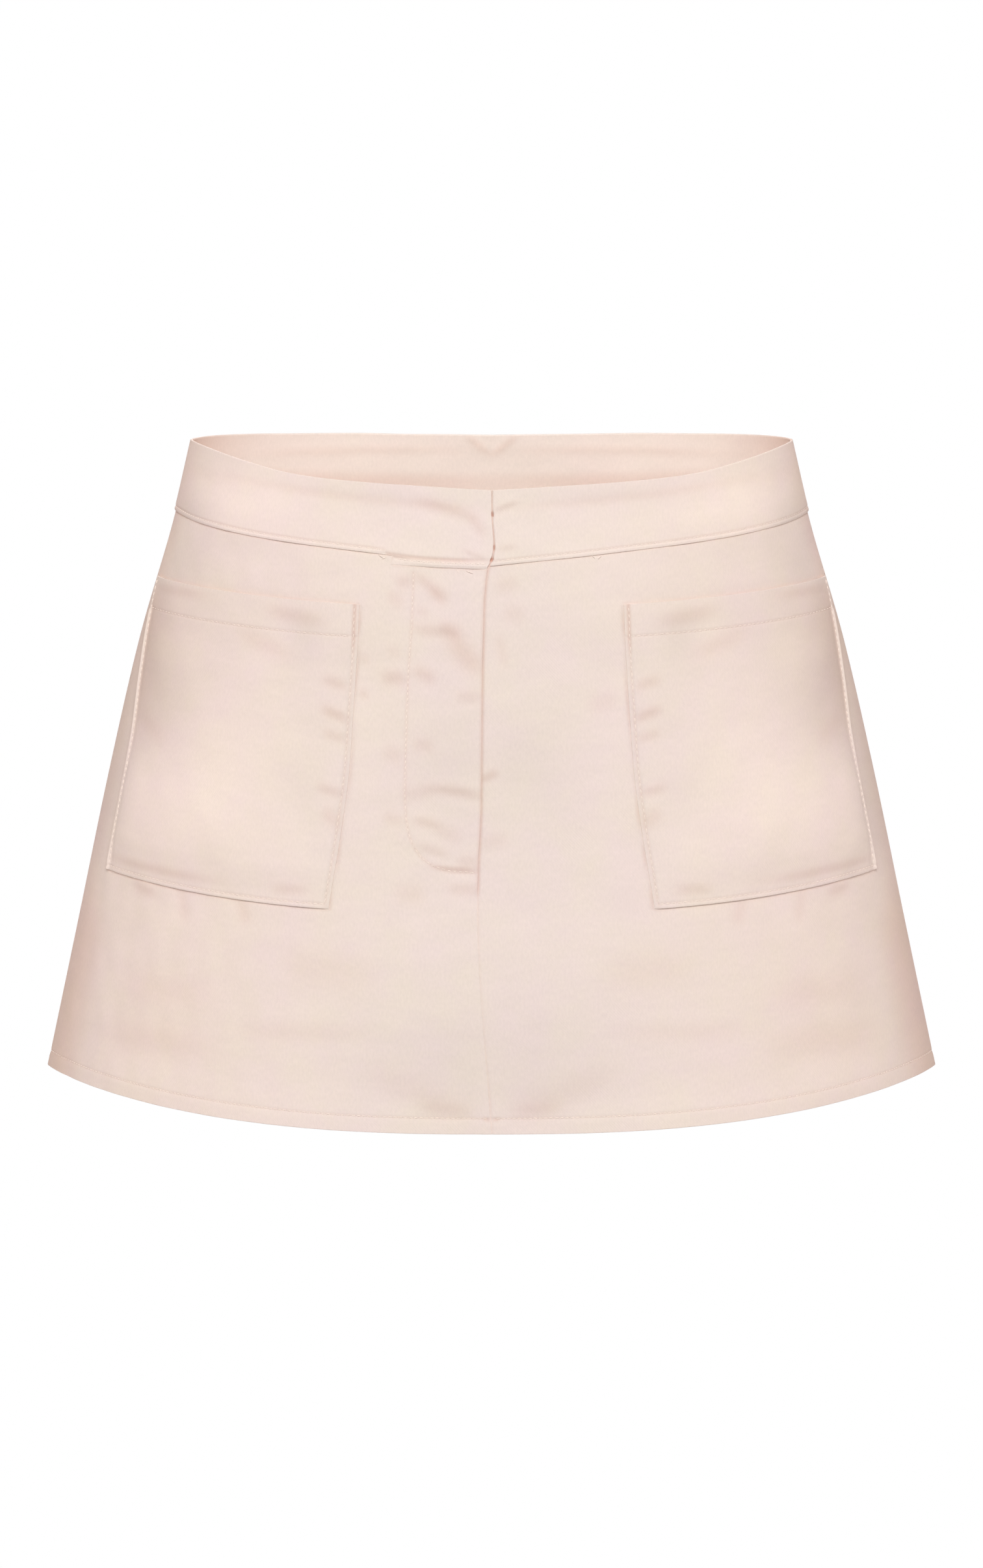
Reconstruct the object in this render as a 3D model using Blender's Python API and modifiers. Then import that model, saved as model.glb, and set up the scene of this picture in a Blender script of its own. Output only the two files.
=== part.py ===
"""Skort: a flared cotton-twill mini skirt with plain shorts sewn into its waist seam.

Frame: +Z up, the front faces -Y, +X is the wearer's left. The origin is the middle of the
waist, level with the waistband's upper edge at the side seams. Tables are in millimetres.

Two numbers place a point on a form. Its share runs round the girth: 0 at the centre front,
1 at the left side seam, 2 at the centre back, and negative on the wearer's right. Its drop
is how far it lies below the origin.
"""
import math
from collections import namedtuple
from functools import lru_cache

import bpy
import numpy as np

MM = 0.001

# ---------------------------------------------------------------- driving dimensions, mm

SEAM_GAP = 0.3          # between neighbouring pieces
REST_GAP = 0.3          # between a piece and what it lies on
TWILL_WALL = 1.2
BAND_WALL = 2.6         # two layers of twill with a stiffener between
BAND_PROUD = 0.9        # how far the band's lower edge stands out from the skirt
SHORTS_WALL = 1.0
SHORTS_TUCK = 2.4       # from the skirt's outer face to the shorts' at the waist seam
SHORTS_LEAVE_DROP = 52.0  # where the shorts start to leave the skirt
PARTING_POWER = 3.4     # how late the middle plane starts to part the shorts into legs
FLY_REST_GAP = 0.5      # the facing bridges flat facets, so it keeps a little more room
FACING_WALL = 0.9

SEAM_LEVEL = 44.0       # about where the band's seam lies, for laying out its columns
HEM_DROP = 325.0
SHORTS_HEM_DROP = 301.0
CROTCH_DROP = 216.0
LEG_GAP = 7.0           # between the two inner legs, below the crotch
INNER_LEG_SPREAD = 16.0  # how much wider that gap is at the shorts' hem

POCKET_TOP = 69.5
POCKET_HEM = 85.0       # the row of stitches that holds the pocket's turned top
POCKET_BASE = 217.5
POCKET_FULLNESS = 1.6   # how far the pocket's middle stands off its panel
POCKET_MOUTH_EASE = 0.8

LAP_END = 0.228         # share where the right band's deeper lap begins
LAP_STEP = 0.240        # share where its lower edge is back on the common line

FACING_EDGE = 0.190     # share of the fly facing's free edge
FACING_TOP = 58.0
FACING_TURN = 188.0     # drop where that edge starts to round into the base of the fly
FACING_BASE = 203.0
FACING_SETBACK = 0.004  # share by which the facing stops short of the fly's fold

ZIP_TOP = 72.0
ZIP_BASE = 198.0
ZIP_HALF_TAPE = 13.0
ZIP_HALF_CHAIN = 3.0
ZIP_DEPTH = 4.6         # from the skirt's outer face to the tape's outer face
PULL_LIFT = 1.6         # how far the pull and the slider stand out from the tape
SLIDER_LIFT = 1.0
CHAIN_LIFT = 0.3
TAPE_WALL = 0.7
CHAIN_WALL = 1.8

SLIDER_SIZE = (8.0, 3.4, 8.5)       # across, deep, tall
PULL_SIZE = (4.6, 0.8, 19.0)
HOOK_WIRE = 0.8
HOOK_REST_GAP = 0.6     # a straight wire behind a faceted band keeps a little more room too
HOOK_DROPS = (27.0, 45.0)

# ---------------------------------------------------------------- tables, mm

# One level of a form. The outline is half_width across and front or back deep. Its square
# and round columns are exponents: square fills its corners, round draws its sides to a point.
Section = namedtuple("Section", "drop half_width front back "
                                "front_square front_round back_square back_round")

# The skirt's outer face: a flattish front that meets a rounder back at the side seams.
SKIRT = (
    Section(0.0, 151.9, 101.0, 100.0, 2.00, 0.75, 2.00, 0.64),
    Section(40.0, 161.5, 111.0, 112.0, 2.05, 0.76, 2.00, 0.64),
    Section(100.0, 179.2, 123.0, 128.0, 2.20, 0.79, 2.05, 0.64),
    Section(170.0, 195.9, 135.0, 142.0, 2.35, 0.82, 2.10, 0.65),
    Section(250.0, 213.1, 146.0, 150.0, 2.45, 0.84, 2.10, 0.65),
    Section(325.0, 229.4, 156.0, 155.0, 2.50, 0.85, 2.10, 0.65),
)

# The shorts' outer face: it leaves the waist seam just inside the skirt, follows the hips
# and ends in two round legs. Its first row is the skirt's own section, SHORTS_TUCK inside.
SHORTS = (
    Section(63.0, 162.6, 107.6, 113.2, 2.08, 0.75, 2.02, 0.66),
    Section(100.0, 166.5, 110.0, 118.0, 2.08, 0.73, 2.02, 0.66),
    Section(150.0, 171.0, 107.0, 120.0, 2.04, 0.68, 2.02, 0.64),
    Section(190.0, 173.5, 101.0, 115.0, 2.00, 0.61, 2.00, 0.60),
    Section(216.0, 174.5, 96.0, 107.0, 2.00, 0.55, 2.00, 0.55),
    Section(301.0, 176.0, 93.0, 98.0, 2.00, 0.50, 2.00, 0.50),
)

Edge = namedtuple("Edge", "share drop")

WAIST_FRONT = (
    Edge(0.0, 13.1), Edge(0.16, 11.6), Edge(0.33, 10.7), Edge(0.45, 10.0),
    Edge(0.55, 8.9), Edge(0.67, 6.3), Edge(0.80, 3.3), Edge(0.89, 1.5), Edge(1.0, 0.0),
)
WAIST_BACK = (
    Edge(0.0, 9.9), Edge(0.21, 8.8), Edge(0.35, 7.3), Edge(0.55, 5.2),
    Edge(0.67, 3.6), Edge(0.77, 2.3), Edge(0.88, 1.1), Edge(1.0, 0.0),
)

# The seam between band and skirt. On the wearer's right the band ends in a lap that
# reaches lower, over the top of the fly.
SEAM_FRONT = (
    Edge(0.0, 49.6), Edge(0.07, 48.0), Edge(0.22, 45.5), Edge(0.31, 44.2),
    Edge(0.42, 43.1), Edge(0.52, 42.3), Edge(0.62, 41.5), Edge(0.74, 40.3),
    Edge(0.86, 38.8), Edge(0.94, 37.2), Edge(1.0, 36.2),
)
LAP_EDGE = (Edge(0.0, 51.0), Edge(0.12, 50.4), Edge(LAP_END, 49.8))
SEAM_BACK = (
    Edge(0.0, 47.5), Edge(0.25, 45.6), Edge(0.5, 43.0), Edge(0.8, 39.0), Edge(1.0, 36.2),
)

# Where the centre-front line runs: between the band's two ends, which hooks pull about a
# little, then along the fly's folded edge, then down the seam below it.
Offset = namedtuple("Offset", "drop across")
FRONT_LINE = (
    Offset(13.0, 0.1), Offset(26.0, 0.3), Offset(40.0, 1.2), Offset(46.0, 0.1),
    Offset(51.0, -1.9), Offset(58.0, -2.9), Offset(68.0, -3.7), Offset(121.0, -4.8),
    Offset(165.0, -5.2), Offset(197.0, -6.6), Offset(217.5, -6.9), Offset(325.0, 0.0),
)

# Shares of the pocket's two side edges, carried on to the waist seam and the hem so that
# the front panels' columns run along them.
Side = namedtuple("Side", "drop inner outer")
POCKET_SIDES = (
    Side(36.0, 0.310, 0.984),
    Side(69.5, 0.302, 0.976),
    Side(88.0, 0.295, 0.960),
    Side(120.0, 0.289, 0.930),
    Side(150.0, 0.286, 0.906),
    Side(176.0, 0.291, 0.901),
    Side(217.5, 0.305, 0.900),
    Side(325.0, 0.335, 0.884),
)

# Level rows of the skirt panels, below the row that follows the waist seam.
PANEL_DROPS = (FACING_TOP, POCKET_TOP, POCKET_HEM, 106.0, 128.0, 150.0, 172.0, FACING_TURN,
               FACING_BASE, POCKET_BASE, 244.0, 271.0, 298.0, HEM_DROP)
SHORTS_DROPS = (63.0, 84.0, 110.0, 136.0, 160.0, 179.0, 193.0, 203.0, 210.0,
                CROTCH_DROP - 1.5, CROTCH_DROP + 1.0, 236.0, 258.0, 280.0, SHORTS_HEM_DROP)

# How the columns are spread between the guide lines of a front panel.
POCKET_COLUMNS = (0.0, 0.19, 0.37, 0.53, 0.67, 0.79, 0.90, 1.0)
SIDE_COLUMNS = (0.0, 0.40, 0.75, 1.0)
BAND_ROWS = (0.0, 0.34, 0.67, 1.0)      # from the waist edge to the seam
BACK_STRIPS = 13
BACK_SPREAD = 1.35      # above 1 draws the back's columns closer to the side seams
SHORTS_STRIPS = 11

CLOTH_COLOUR = (0.86, 0.73, 0.65)
FACING_COLOUR = (0.82, 0.66, 0.58)
SHORTS_COLOUR = (0.83, 0.70, 0.62)
METAL_COLOUR = (0.62, 0.61, 0.60)
CURVE_STEPS = 600
SHARE_STEP = 0.004      # for reading a form's directions
LEAST_SHARE = 0.0001    # keeps a leg's own side at its middle seam


# ---------------------------------------------------------------- the two forms

def smooth(rows, column, at):
    """Read a table by a cubic that never swings past its rows."""
    xs = [row[0] for row in rows]
    ys = [row[column] for row in rows]
    at = min(max(at, xs[0]), xs[-1])
    last = len(xs) - 2
    k = min(max(int(np.searchsorted(xs, at)) - 1, 0), last)
    slopes = [(ys[i + 1] - ys[i]) / (xs[i + 1] - xs[i]) for i in range(last + 1)]

    def tangent(i):
        if i == 0:
            return slopes[0]
        if i == last + 1:
            return slopes[last]
        before, after = slopes[i - 1], slopes[i]
        return 0.0 if before * after <= 0 else 2 * before * after / (before + after)

    span = xs[k + 1] - xs[k]
    t = (at - xs[k]) / span
    return ((2 * t**3 - 3 * t**2 + 1) * ys[k] + (t**3 - 2 * t**2 + t) * span * tangent(k)
            + (3 * t**2 - 2 * t**3) * ys[k + 1] + (t**3 - t**2) * span * tangent(k + 1))


@lru_cache(maxsize=None)
def quarter(centre, half_width, depth, square, roundness):
    """Length, x and y along an outline, from where it meets x = 0 to its widest point."""
    reach = min(centre / half_width, 1.0)
    start = -math.asin(reach ** (square / 2))
    angle = np.linspace(start, math.pi / 2, CURVE_STEPS)
    across = np.sign(np.sin(angle)) * np.abs(np.sin(angle)) ** (2 / square)
    x = centre + half_width * across
    y = depth * np.abs(np.cos(angle)) ** (2 * roundness)
    length = np.concatenate(([0.0], np.cumsum(np.hypot(np.diff(x), np.diff(y)))))
    return length, x, y


def outline_point(section, centre, half_width, share):
    """x and y of a section at a share from 0 to 2, on the positive side."""
    if share <= 1:
        facing, depth = -1.0, section.front
        shape = (section.front_square, section.front_round)
    else:
        facing, depth = 1.0, section.back
        shape = (section.back_square, section.back_round)
        share = 2 - share
    length, x, y = quarter(centre, half_width, depth, *shape)
    at = share * length[-1]
    return np.interp(at, length, x), facing * np.interp(at, length, y)


def read_section(rows, drop):
    return Section(drop, *(smooth(rows, column, drop) for column in range(1, len(rows[0]))))


@lru_cache(maxsize=None)
def skirt_section(drop):
    return read_section(SKIRT, drop)


def skirt_form(share, drop):
    """A point on the skirt's outer face, which the waistband carries on upwards."""
    if share > 2:
        share -= 4
    if share < -2:
        share += 4
    section = skirt_section(drop)
    x, y = outline_point(section, 0.0, section.half_width, abs(share))
    return np.array((math.copysign(x, share), y, -drop))


def half_front(drop):
    """Length of the skirt's outline from the centre front to a side seam."""
    s = skirt_section(drop)
    return quarter(0.0, s.half_width, s.front, s.front_square, s.front_round)[0][-1]


def tucked_section(drop):
    """The skirt's section, moved in to make room for the shorts' top."""
    s = skirt_section(drop)
    return s._replace(half_width=s.half_width - SHORTS_TUCK, front=s.front - SHORTS_TUCK,
                      back=s.back - SHORTS_TUCK)


@lru_cache(maxsize=None)
def shorts_section(drop):
    """A leg's outline at a drop: its section, the ring's centre and its half width."""
    if drop < SHORTS_LEAVE_DROP:
        s = tucked_section(drop)
    else:
        s = read_section((tucked_section(SHORTS_LEAVE_DROP),) + SHORTS, drop)
    if drop < CROTCH_DROP:
        # Each leg's ring is cut by the middle plane, less and less of it towards the crotch.
        parting = (drop / CROTCH_DROP) ** PARTING_POWER
        inner = -s.half_width * (1 - parting) / (1 + parting)
    else:
        below = (drop - CROTCH_DROP) / (SHORTS_HEM_DROP - CROTCH_DROP)
        inner = (LEG_GAP * min(1.0, 4 * below) + INNER_LEG_SPREAD * below) / 2
    return s, (s.half_width + inner) / 2, (s.half_width - inner) / 2


def shorts_form(share, drop):
    """A point on the shorts' outer face, for the wearer's left leg when share is positive."""
    section, centre, half_width = shorts_section(drop)
    x, y = outline_point(section, centre, half_width, min(abs(share), 2.0))
    return np.array((math.copysign(1.0, share) * x, y, -drop))


def directions(form, share, drop, open_edges):
    """Unit vectors at a point of a form: along the girth, downwards and outwards."""
    side = -1.0 if share < 0 else 1.0
    low, high = share - SHARE_STEP, share + SHARE_STEP
    if open_edges:
        ends = (side * max(abs(share) - SHARE_STEP, LEAST_SHARE),
                side * min(abs(share) + SHARE_STEP, 2.0))
        low, high = min(ends), max(ends)
    along = form(high, drop) - form(low, drop)
    down = form(share, drop + 0.5) - form(share, drop - 0.5)
    along /= np.linalg.norm(along)
    out = np.cross(down, along)
    out /= np.linalg.norm(out)
    down /= np.linalg.norm(down)
    return along, down, out


# ---------------------------------------------------------------- cloth walls

def make_object(name, vertices, faces, colour, roughness=0.85, metallic=0.0):
    """A closed mesh from corners in mm, with its faces turned outwards."""
    mesh = bpy.data.meshes.new(name)
    mesh.from_pydata([tuple(v * MM for v in corner) for corner in vertices], [], faces)
    mesh.validate()
    piece = bpy.data.objects.new(name, mesh)
    PARTS.objects.link(piece)
    give_material(piece, colour, roughness, metallic)
    return piece


def give_material(piece, colour, roughness, metallic):
    material = bpy.data.materials.new(piece.name + "_finish")
    material.use_nodes = True
    shader = material.node_tree.nodes["Principled BSDF"]
    shader.inputs["Base Color"].default_value = (*colour, 1.0)
    shader.inputs["Roughness"].default_value = roughness
    shader.inputs["Metallic"].default_value = metallic
    piece.data.materials.append(material)


Trim = namedtuple("Trim", "top bottom first last", defaults=(0.0, 0.0, 0.0, 0.0))


def cloth(name, form, shares, drops, colour, wall, outer=0.0, trim=Trim(), open_edges=False):
    """A cloth wall over a grid of shares and drops, one list for each row.

    outer is how far its outer skin stands out from the form, as one number or a grid of
    them. trim pulls its four edges in, within the surface, to leave the seam gaps.
    """
    shares = np.array(shares, float)
    drops = np.array(drops, float)
    rows, columns = shares.shape
    outer = np.broadcast_to(np.array(outer, float), shares.shape)
    skins = ([], [])
    for j in range(rows):
        for i in range(columns):
            point = form(shares[j, i], drops[j, i])
            along, down, out = directions(form, shares[j, i], drops[j, i], open_edges)
            if i == 0:
                point = point + along * trim.first
            if i == columns - 1:
                point = point - along * trim.last
            if j == 0:
                point = point + down * trim.top
            if j == rows - 1:
                point = point - down * trim.bottom
            skins[0].append(point + out * outer[j, i])
            skins[1].append(point + out * (outer[j, i] - wall))
    return make_object(name, skins[0] + skins[1], wall_faces(rows, columns), colour)


def wall_faces(rows, columns):
    """Triangles of two skins and the rims that join them, turned outwards."""
    count = rows * columns
    faces = []
    for j in range(rows - 1):
        for i in range(columns - 1):
            a = j * columns + i
            b, c, d = a + 1, a + columns + 1, a + columns
            faces += [(a, c, b), (a, d, c)]
            faces += [(a + count, b + count, c + count), (a + count, c + count, d + count)]
    top = list(range(columns))
    last = [j * columns + columns - 1 for j in range(rows)]
    bottom = [(rows - 1) * columns + i for i in reversed(range(columns))]
    first = [j * columns for j in reversed(range(rows))]
    for rim in (top, last, bottom, first):
        for a, b in zip(rim, rim[1:]):
            faces += [(a, b, b + count), (a, b + count, a + count)]
    return faces


def seam_trim(**edges):
    """Half a seam's gap on the edges that are named."""
    return Trim(**{edge: SEAM_GAP / 2 for edge in edges if edges[edge]})


# ---------------------------------------------------------------- skirt panels

def seam_drop(share, right_side):
    """Drop of the seam between band and skirt, on the front."""
    if right_side and share <= LAP_END:
        return smooth(LAP_EDGE, 1, share)
    return smooth(SEAM_FRONT, 1, share)


def front_row_shares(drop):
    """Shares of a front panel's columns at one drop, before the panel's side is chosen."""
    inner = smooth(POCKET_SIDES, 1, drop)
    outer = smooth(POCKET_SIDES, 2, drop)
    near = [0.0, 0.5 * FACING_EDGE, FACING_EDGE, LAP_END, LAP_STEP]
    pocket = [inner + (outer - inner) * t for t in POCKET_COLUMNS]
    side = [outer + (1.0 - outer) * t for t in SIDE_COLUMNS[1:]]
    return near + pocket + side


def line_share(drop):
    """Share of the centre-front line at a drop."""
    return smooth(FRONT_LINE, 1, drop) / half_front(drop)


def follow_line(side, row, drop):
    """Signed shares of a row whose first columns lean with the centre-front line."""
    line = line_share(drop)
    return [side * share + line * max(0.0, 1 - share / FACING_EDGE) for share in row]


def front_grid(side):
    """Shares and drops of a front panel: side is -1 for the wearer's right, 1 for the left."""
    top = front_row_shares(SEAM_LEVEL)
    drops = [[seam_drop(share, side < 0) for share in top]]
    shares = [follow_line(side, top, drops[0][0])]
    for drop in PANEL_DROPS:
        drops.append([drop] * len(top))
        shares.append(follow_line(side, front_row_shares(drop), drop))
    return order(side, shares), order(side, drops)


def order(side, grid):
    """Put a grid's columns in rising order of share on either side."""
    return [row[::-1] if side < 0 else row for row in grid]


def front_panel(name, side):
    shares, drops = front_grid(side)
    return cloth(name, skirt_form, shares, drops, CLOTH_COLOUR, TWILL_WALL,
                 trim=seam_trim(top=True, first=True, last=True))


def back_columns(strips):
    """Shares from one side seam to the other round the back, closer near the seams."""
    half = [1 + (i / strips) ** BACK_SPREAD for i in range(strips + 1)]
    other = [4 - share for share in reversed(half[:-1])]
    return half + other


def back_drop(rows, share):
    return smooth(rows, 1, abs(2 - share))


def back_panel():
    columns = back_columns(BACK_STRIPS)
    shares = [columns] * (len(PANEL_DROPS) + 1)
    drops = [[back_drop(SEAM_BACK, share) for share in columns]]
    drops += [[drop] * len(columns) for drop in PANEL_DROPS]
    return cloth("skirt_back", skirt_form, shares, drops, CLOTH_COLOUR, TWILL_WALL,
                 trim=seam_trim(top=True, first=True, last=True))


def pocket(name, side):
    """A patch pocket on its panel's own grid, moved out and a little full in the middle."""
    first_column = front_row_shares(POCKET_TOP).index(smooth(POCKET_SIDES, 1, POCKET_TOP))
    levels = [drop for drop in PANEL_DROPS if POCKET_TOP <= drop <= POCKET_BASE]
    shares = []
    outer = []
    for drop in levels:
        row = front_row_shares(drop)[first_column:first_column + len(POCKET_COLUMNS)]
        fall = (drop - POCKET_TOP) / (POCKET_BASE - POCKET_TOP)
        ease = POCKET_MOUTH_EASE * max(0.0, 1 - 4 * fall)
        shares.append([side * share for share in row])
        bulge = [math.sin(math.pi * t) for t in POCKET_COLUMNS]
        outer.append([REST_GAP + TWILL_WALL + b * (ease + POCKET_FULLNESS * math.sin(math.pi * fall))
                      for b in bulge])
    drops = [[drop] * len(POCKET_COLUMNS) for drop in levels]
    return cloth(name, skirt_form, order(side, shares), order(side, drops), CLOTH_COLOUR,
                 TWILL_WALL, outer=order(side, outer))


# ---------------------------------------------------------------- waistband

def band_wall(name, shares, drops):
    """A shaped band from the waist edge down to its seam with the skirt."""
    return cloth(name, skirt_form, shares, drops, CLOTH_COLOUR, BAND_WALL, outer=BAND_PROUD,
                 trim=seam_trim(bottom=True, first=True, last=True))


def front_band(name, side):
    columns = front_row_shares(SEAM_LEVEL)
    shares = []
    drops = []
    for t in BAND_ROWS:
        row = []
        for share in columns:
            top = smooth(WAIST_FRONT, 1, share)
            row.append(top + (seam_drop(share, side < 0) - top) * t)
        drops.append(row)
        shares.append(follow_line(side, columns, row[0]))
    return band_wall(name, order(side, shares), order(side, drops))


def back_band():
    columns = back_columns(BACK_STRIPS)
    drops = []
    for t in BAND_ROWS:
        tops = [back_drop(WAIST_BACK, share) for share in columns]
        lows = [back_drop(SEAM_BACK, share) for share in columns]
        drops.append([top + (low - top) * t for top, low in zip(tops, lows)])
    return band_wall("waistband_back", [columns] * len(BAND_ROWS), drops)


# ---------------------------------------------------------------- inner shorts

def shorts_piece(name, side, back):
    """A front or back of one leg, from the middle seam and inseam round to the side seam."""
    spread = [i / SHORTS_STRIPS for i in range(SHORTS_STRIPS + 1)]
    columns = [2 - t for t in spread] if back else spread
    columns = [max(share, LEAST_SHARE) for share in columns]
    edge = SEAM_BACK if back else SEAM_FRONT
    drops = [[smooth(edge, 1, 2 - share if back else share) + SEAM_GAP for share in columns]]
    drops += [[drop] * len(columns) for drop in SHORTS_DROPS]
    if side < 0 and not back:
        drops[0] = [seam_drop(share, True) + SEAM_GAP for share in columns]
    shares = [[side * share for share in columns]] * len(drops)
    if (side < 0) != back:
        shares = [row[::-1] for row in shares]
        drops = [row[::-1] for row in drops]
    return cloth(name, shorts_form, shares, drops, SHORTS_COLOUR, SHORTS_WALL,
                 trim=seam_trim(top=True, first=True, last=True), open_edges=True)


# ---------------------------------------------------------------- fly and closure

def fly_facing():
    """The facing behind the right front's folded edge, rounded at its base."""
    middle_of_turn = (FACING_TURN + FACING_BASE) / 2
    levels = sorted([d for d in PANEL_DROPS if d <= FACING_BASE] + [middle_of_turn])
    shares = []
    for drop in levels:
        turn = max(0.0, (drop - FACING_TURN) / (FACING_BASE - FACING_TURN))
        edge = -FACING_EDGE * (1 - 0.5 * turn**2)
        fold = line_share(drop) - FACING_SETBACK
        shares.append([edge, (edge + fold) / 2, fold])
    drops = [[drop] * 3 for drop in levels]
    return cloth("fly_facing", skirt_form, shares, drops, FACING_COLOUR, FACING_WALL,
                 outer=-(TWILL_WALL + FLY_REST_GAP))


def zip_strip(name, low, high, depth, wall):
    """An upright strip behind the fly, between two distances from the centre-front line."""
    levels = np.linspace(ZIP_TOP, ZIP_BASE, 8)
    shares = []
    for drop in levels:
        across = [smooth(FRONT_LINE, 1, drop) + low + (high - low) * t for t in (0, 0.5, 1)]
        shares.append([a / half_front(drop) for a in across])
    drops = [[drop] * 3 for drop in levels]
    return cloth(name, skirt_form, shares, drops, FACING_COLOUR, wall, outer=-depth)


def behind_fly(drop, depth):
    """A point behind the centre-front line, and the form's three directions there."""
    share = line_share(drop)
    along, down, out = directions(skirt_form, share, drop, False)
    return skirt_form(share, drop) - out * depth, along, down, out


def plate(name, drop, size, depth, colour):
    """A small bevelled metal plate behind the fly: drop is its top edge, depth its face."""
    across, deep, tall = size
    middle, along, down, out = behind_fly(drop + tall / 2, depth + deep / 2)
    bpy.ops.mesh.primitive_cube_add(size=1.0)
    piece = bpy.context.object
    piece.name = name
    piece.data.name = name
    for corner in piece.data.vertices:
        x, y, z = corner.co
        corner.co = (along * x * across - out * y * deep - down * z * tall) * MM
    piece.location = middle * MM
    bevel = piece.modifiers.new("edge", "BEVEL")
    bevel.width = 0.2 * deep * MM
    bevel.segments = 1
    PARTS.objects.link(piece)
    for home in list(piece.users_collection):
        if home != PARTS:
            home.objects.unlink(piece)
    give_material(piece, colour, 0.35, 1.0)
    return piece


def wire(name, points, thickness, colour):
    """A bent wire through points in mm, with closed ends."""
    curve = bpy.data.curves.new(name, "CURVE")
    curve.dimensions = "3D"
    curve.bevel_depth = thickness / 2 * MM
    curve.bevel_resolution = 1
    curve.use_fill_caps = True
    spline = curve.splines.new("POLY")
    spline.points.add(len(points) - 1)
    for target, point in zip(spline.points, points):
        target.co = (*(point * MM), 1.0)
    piece = bpy.data.objects.new(name, curve)
    PARTS.objects.link(piece)
    give_material(piece, colour, 0.3, 1.0)
    return piece


def band_point(across, drop, depth):
    """A point behind the band at the centre front; depth is from the band's inner face."""
    share = across / half_front(drop)
    along, down, out = directions(skirt_form, share, drop, False)
    return skirt_form(share, drop) - out * (BAND_WALL - BAND_PROUD + depth)


def hook_and_eye(label, drop):
    """A wire hook on the right end of the band, holding a wire eye on the left end."""
    seat = HOOK_REST_GAP + HOOK_WIRE / 2
    bill = seat + HOOK_WIRE + 0.4
    eye = [(9.0, -2.6), (4.0, -2.6), (0.0, -2.2), (-1.6, -1.2), (-1.6, 1.2), (0.0, 2.2),
           (4.0, 2.6), (9.0, 2.6)]
    wire("eye_" + label, [band_point(x, drop + z, seat) for x, z in eye], HOOK_WIRE,
         METAL_COLOUR)
    hook = [(-6.8, 1.0, seat), (-8.5, 2.4, seat), (-11.0, 1.6, seat), (-11.0, -1.6, seat),
            (-8.5, -2.4, seat), (-5.5, 0.0, seat), (-3.6, 0.0, bill), (1.6, 0.0, bill),
            (2.6, 0.0, seat + 0.1)]
    wire("hook_" + label, [band_point(x, drop + z, d) for x, z, d in hook], HOOK_WIRE,
         METAL_COLOUR)


# ---------------------------------------------------------------- build

for old in list(bpy.data.objects):
    bpy.data.objects.remove(old)

PARTS = bpy.data.collections.new("skort")
bpy.context.scene.collection.children.link(PARTS)

front_panel("skirt_front_right", -1)
front_panel("skirt_front_left", 1)
back_panel()
front_band("waistband_front_right", -1)
front_band("waistband_front_left", 1)
back_band()
pocket("pocket_right", -1)
pocket("pocket_left", 1)
for leg, leg_side in (("right", -1), ("left", 1)):
    shorts_piece("shorts_front_" + leg, leg_side, back=False)
    shorts_piece("shorts_back_" + leg, leg_side, back=True)
fly_facing()
zip_strip("zip_tape_right", -ZIP_HALF_TAPE, -ZIP_HALF_CHAIN, ZIP_DEPTH, TAPE_WALL)
zip_strip("zip_chain", -ZIP_HALF_CHAIN + SEAM_GAP, ZIP_HALF_CHAIN - SEAM_GAP,
          ZIP_DEPTH - CHAIN_LIFT, CHAIN_WALL)
zip_strip("zip_tape_left", ZIP_HALF_CHAIN, ZIP_HALF_TAPE, ZIP_DEPTH, TAPE_WALL)
plate("zip_slider", ZIP_TOP - REST_GAP - SLIDER_SIZE[2], SLIDER_SIZE,
      ZIP_DEPTH - SLIDER_LIFT, METAL_COLOUR)
plate("zip_pull", ZIP_TOP + REST_GAP, PULL_SIZE, ZIP_DEPTH - PULL_LIFT, METAL_COLOUR)
for label, hook_drop in zip(("upper", "lower"), HOOK_DROPS):
    hook_and_eye(label, hook_drop)
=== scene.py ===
"""Looks of the skort: a flared cotton-twill mini skirt with plain shorts sewn into its waist.

Two numbers place a point on the cloth. Its share runs round the girth: 0 at the centre
front, 1 at the left side seam, 2 at the centre back, and negative on the wearer's right.
Its drop is how far it lies below the waistband's upper edge at the side seams. The cloth's
sizes are in millimetres until they become mesh points, and the studio's are in metres.
"""
import math
from collections import namedtuple

import bpy
import numpy as np
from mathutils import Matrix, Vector


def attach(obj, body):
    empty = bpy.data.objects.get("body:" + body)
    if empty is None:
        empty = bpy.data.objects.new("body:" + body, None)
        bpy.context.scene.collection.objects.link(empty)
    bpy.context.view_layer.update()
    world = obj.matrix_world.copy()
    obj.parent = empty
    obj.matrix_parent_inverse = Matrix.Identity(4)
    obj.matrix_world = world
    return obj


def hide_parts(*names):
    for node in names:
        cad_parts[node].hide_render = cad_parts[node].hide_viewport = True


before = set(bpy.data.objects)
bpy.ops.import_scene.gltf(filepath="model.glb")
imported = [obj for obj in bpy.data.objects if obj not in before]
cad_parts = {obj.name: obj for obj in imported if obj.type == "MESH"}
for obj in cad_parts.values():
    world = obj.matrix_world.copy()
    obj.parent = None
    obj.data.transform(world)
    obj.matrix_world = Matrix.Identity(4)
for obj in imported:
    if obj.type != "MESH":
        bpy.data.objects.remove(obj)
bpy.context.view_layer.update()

# ------------ camera
# A long lens, a little above the waist, looking straight at the front.

LOOK_AT = Vector((0.0, 0.0, -0.1777))
CAMERA_AWAY = 3.05
CAMERA_RISE = 10.0
CAMERA_LENS = 136.62


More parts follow.
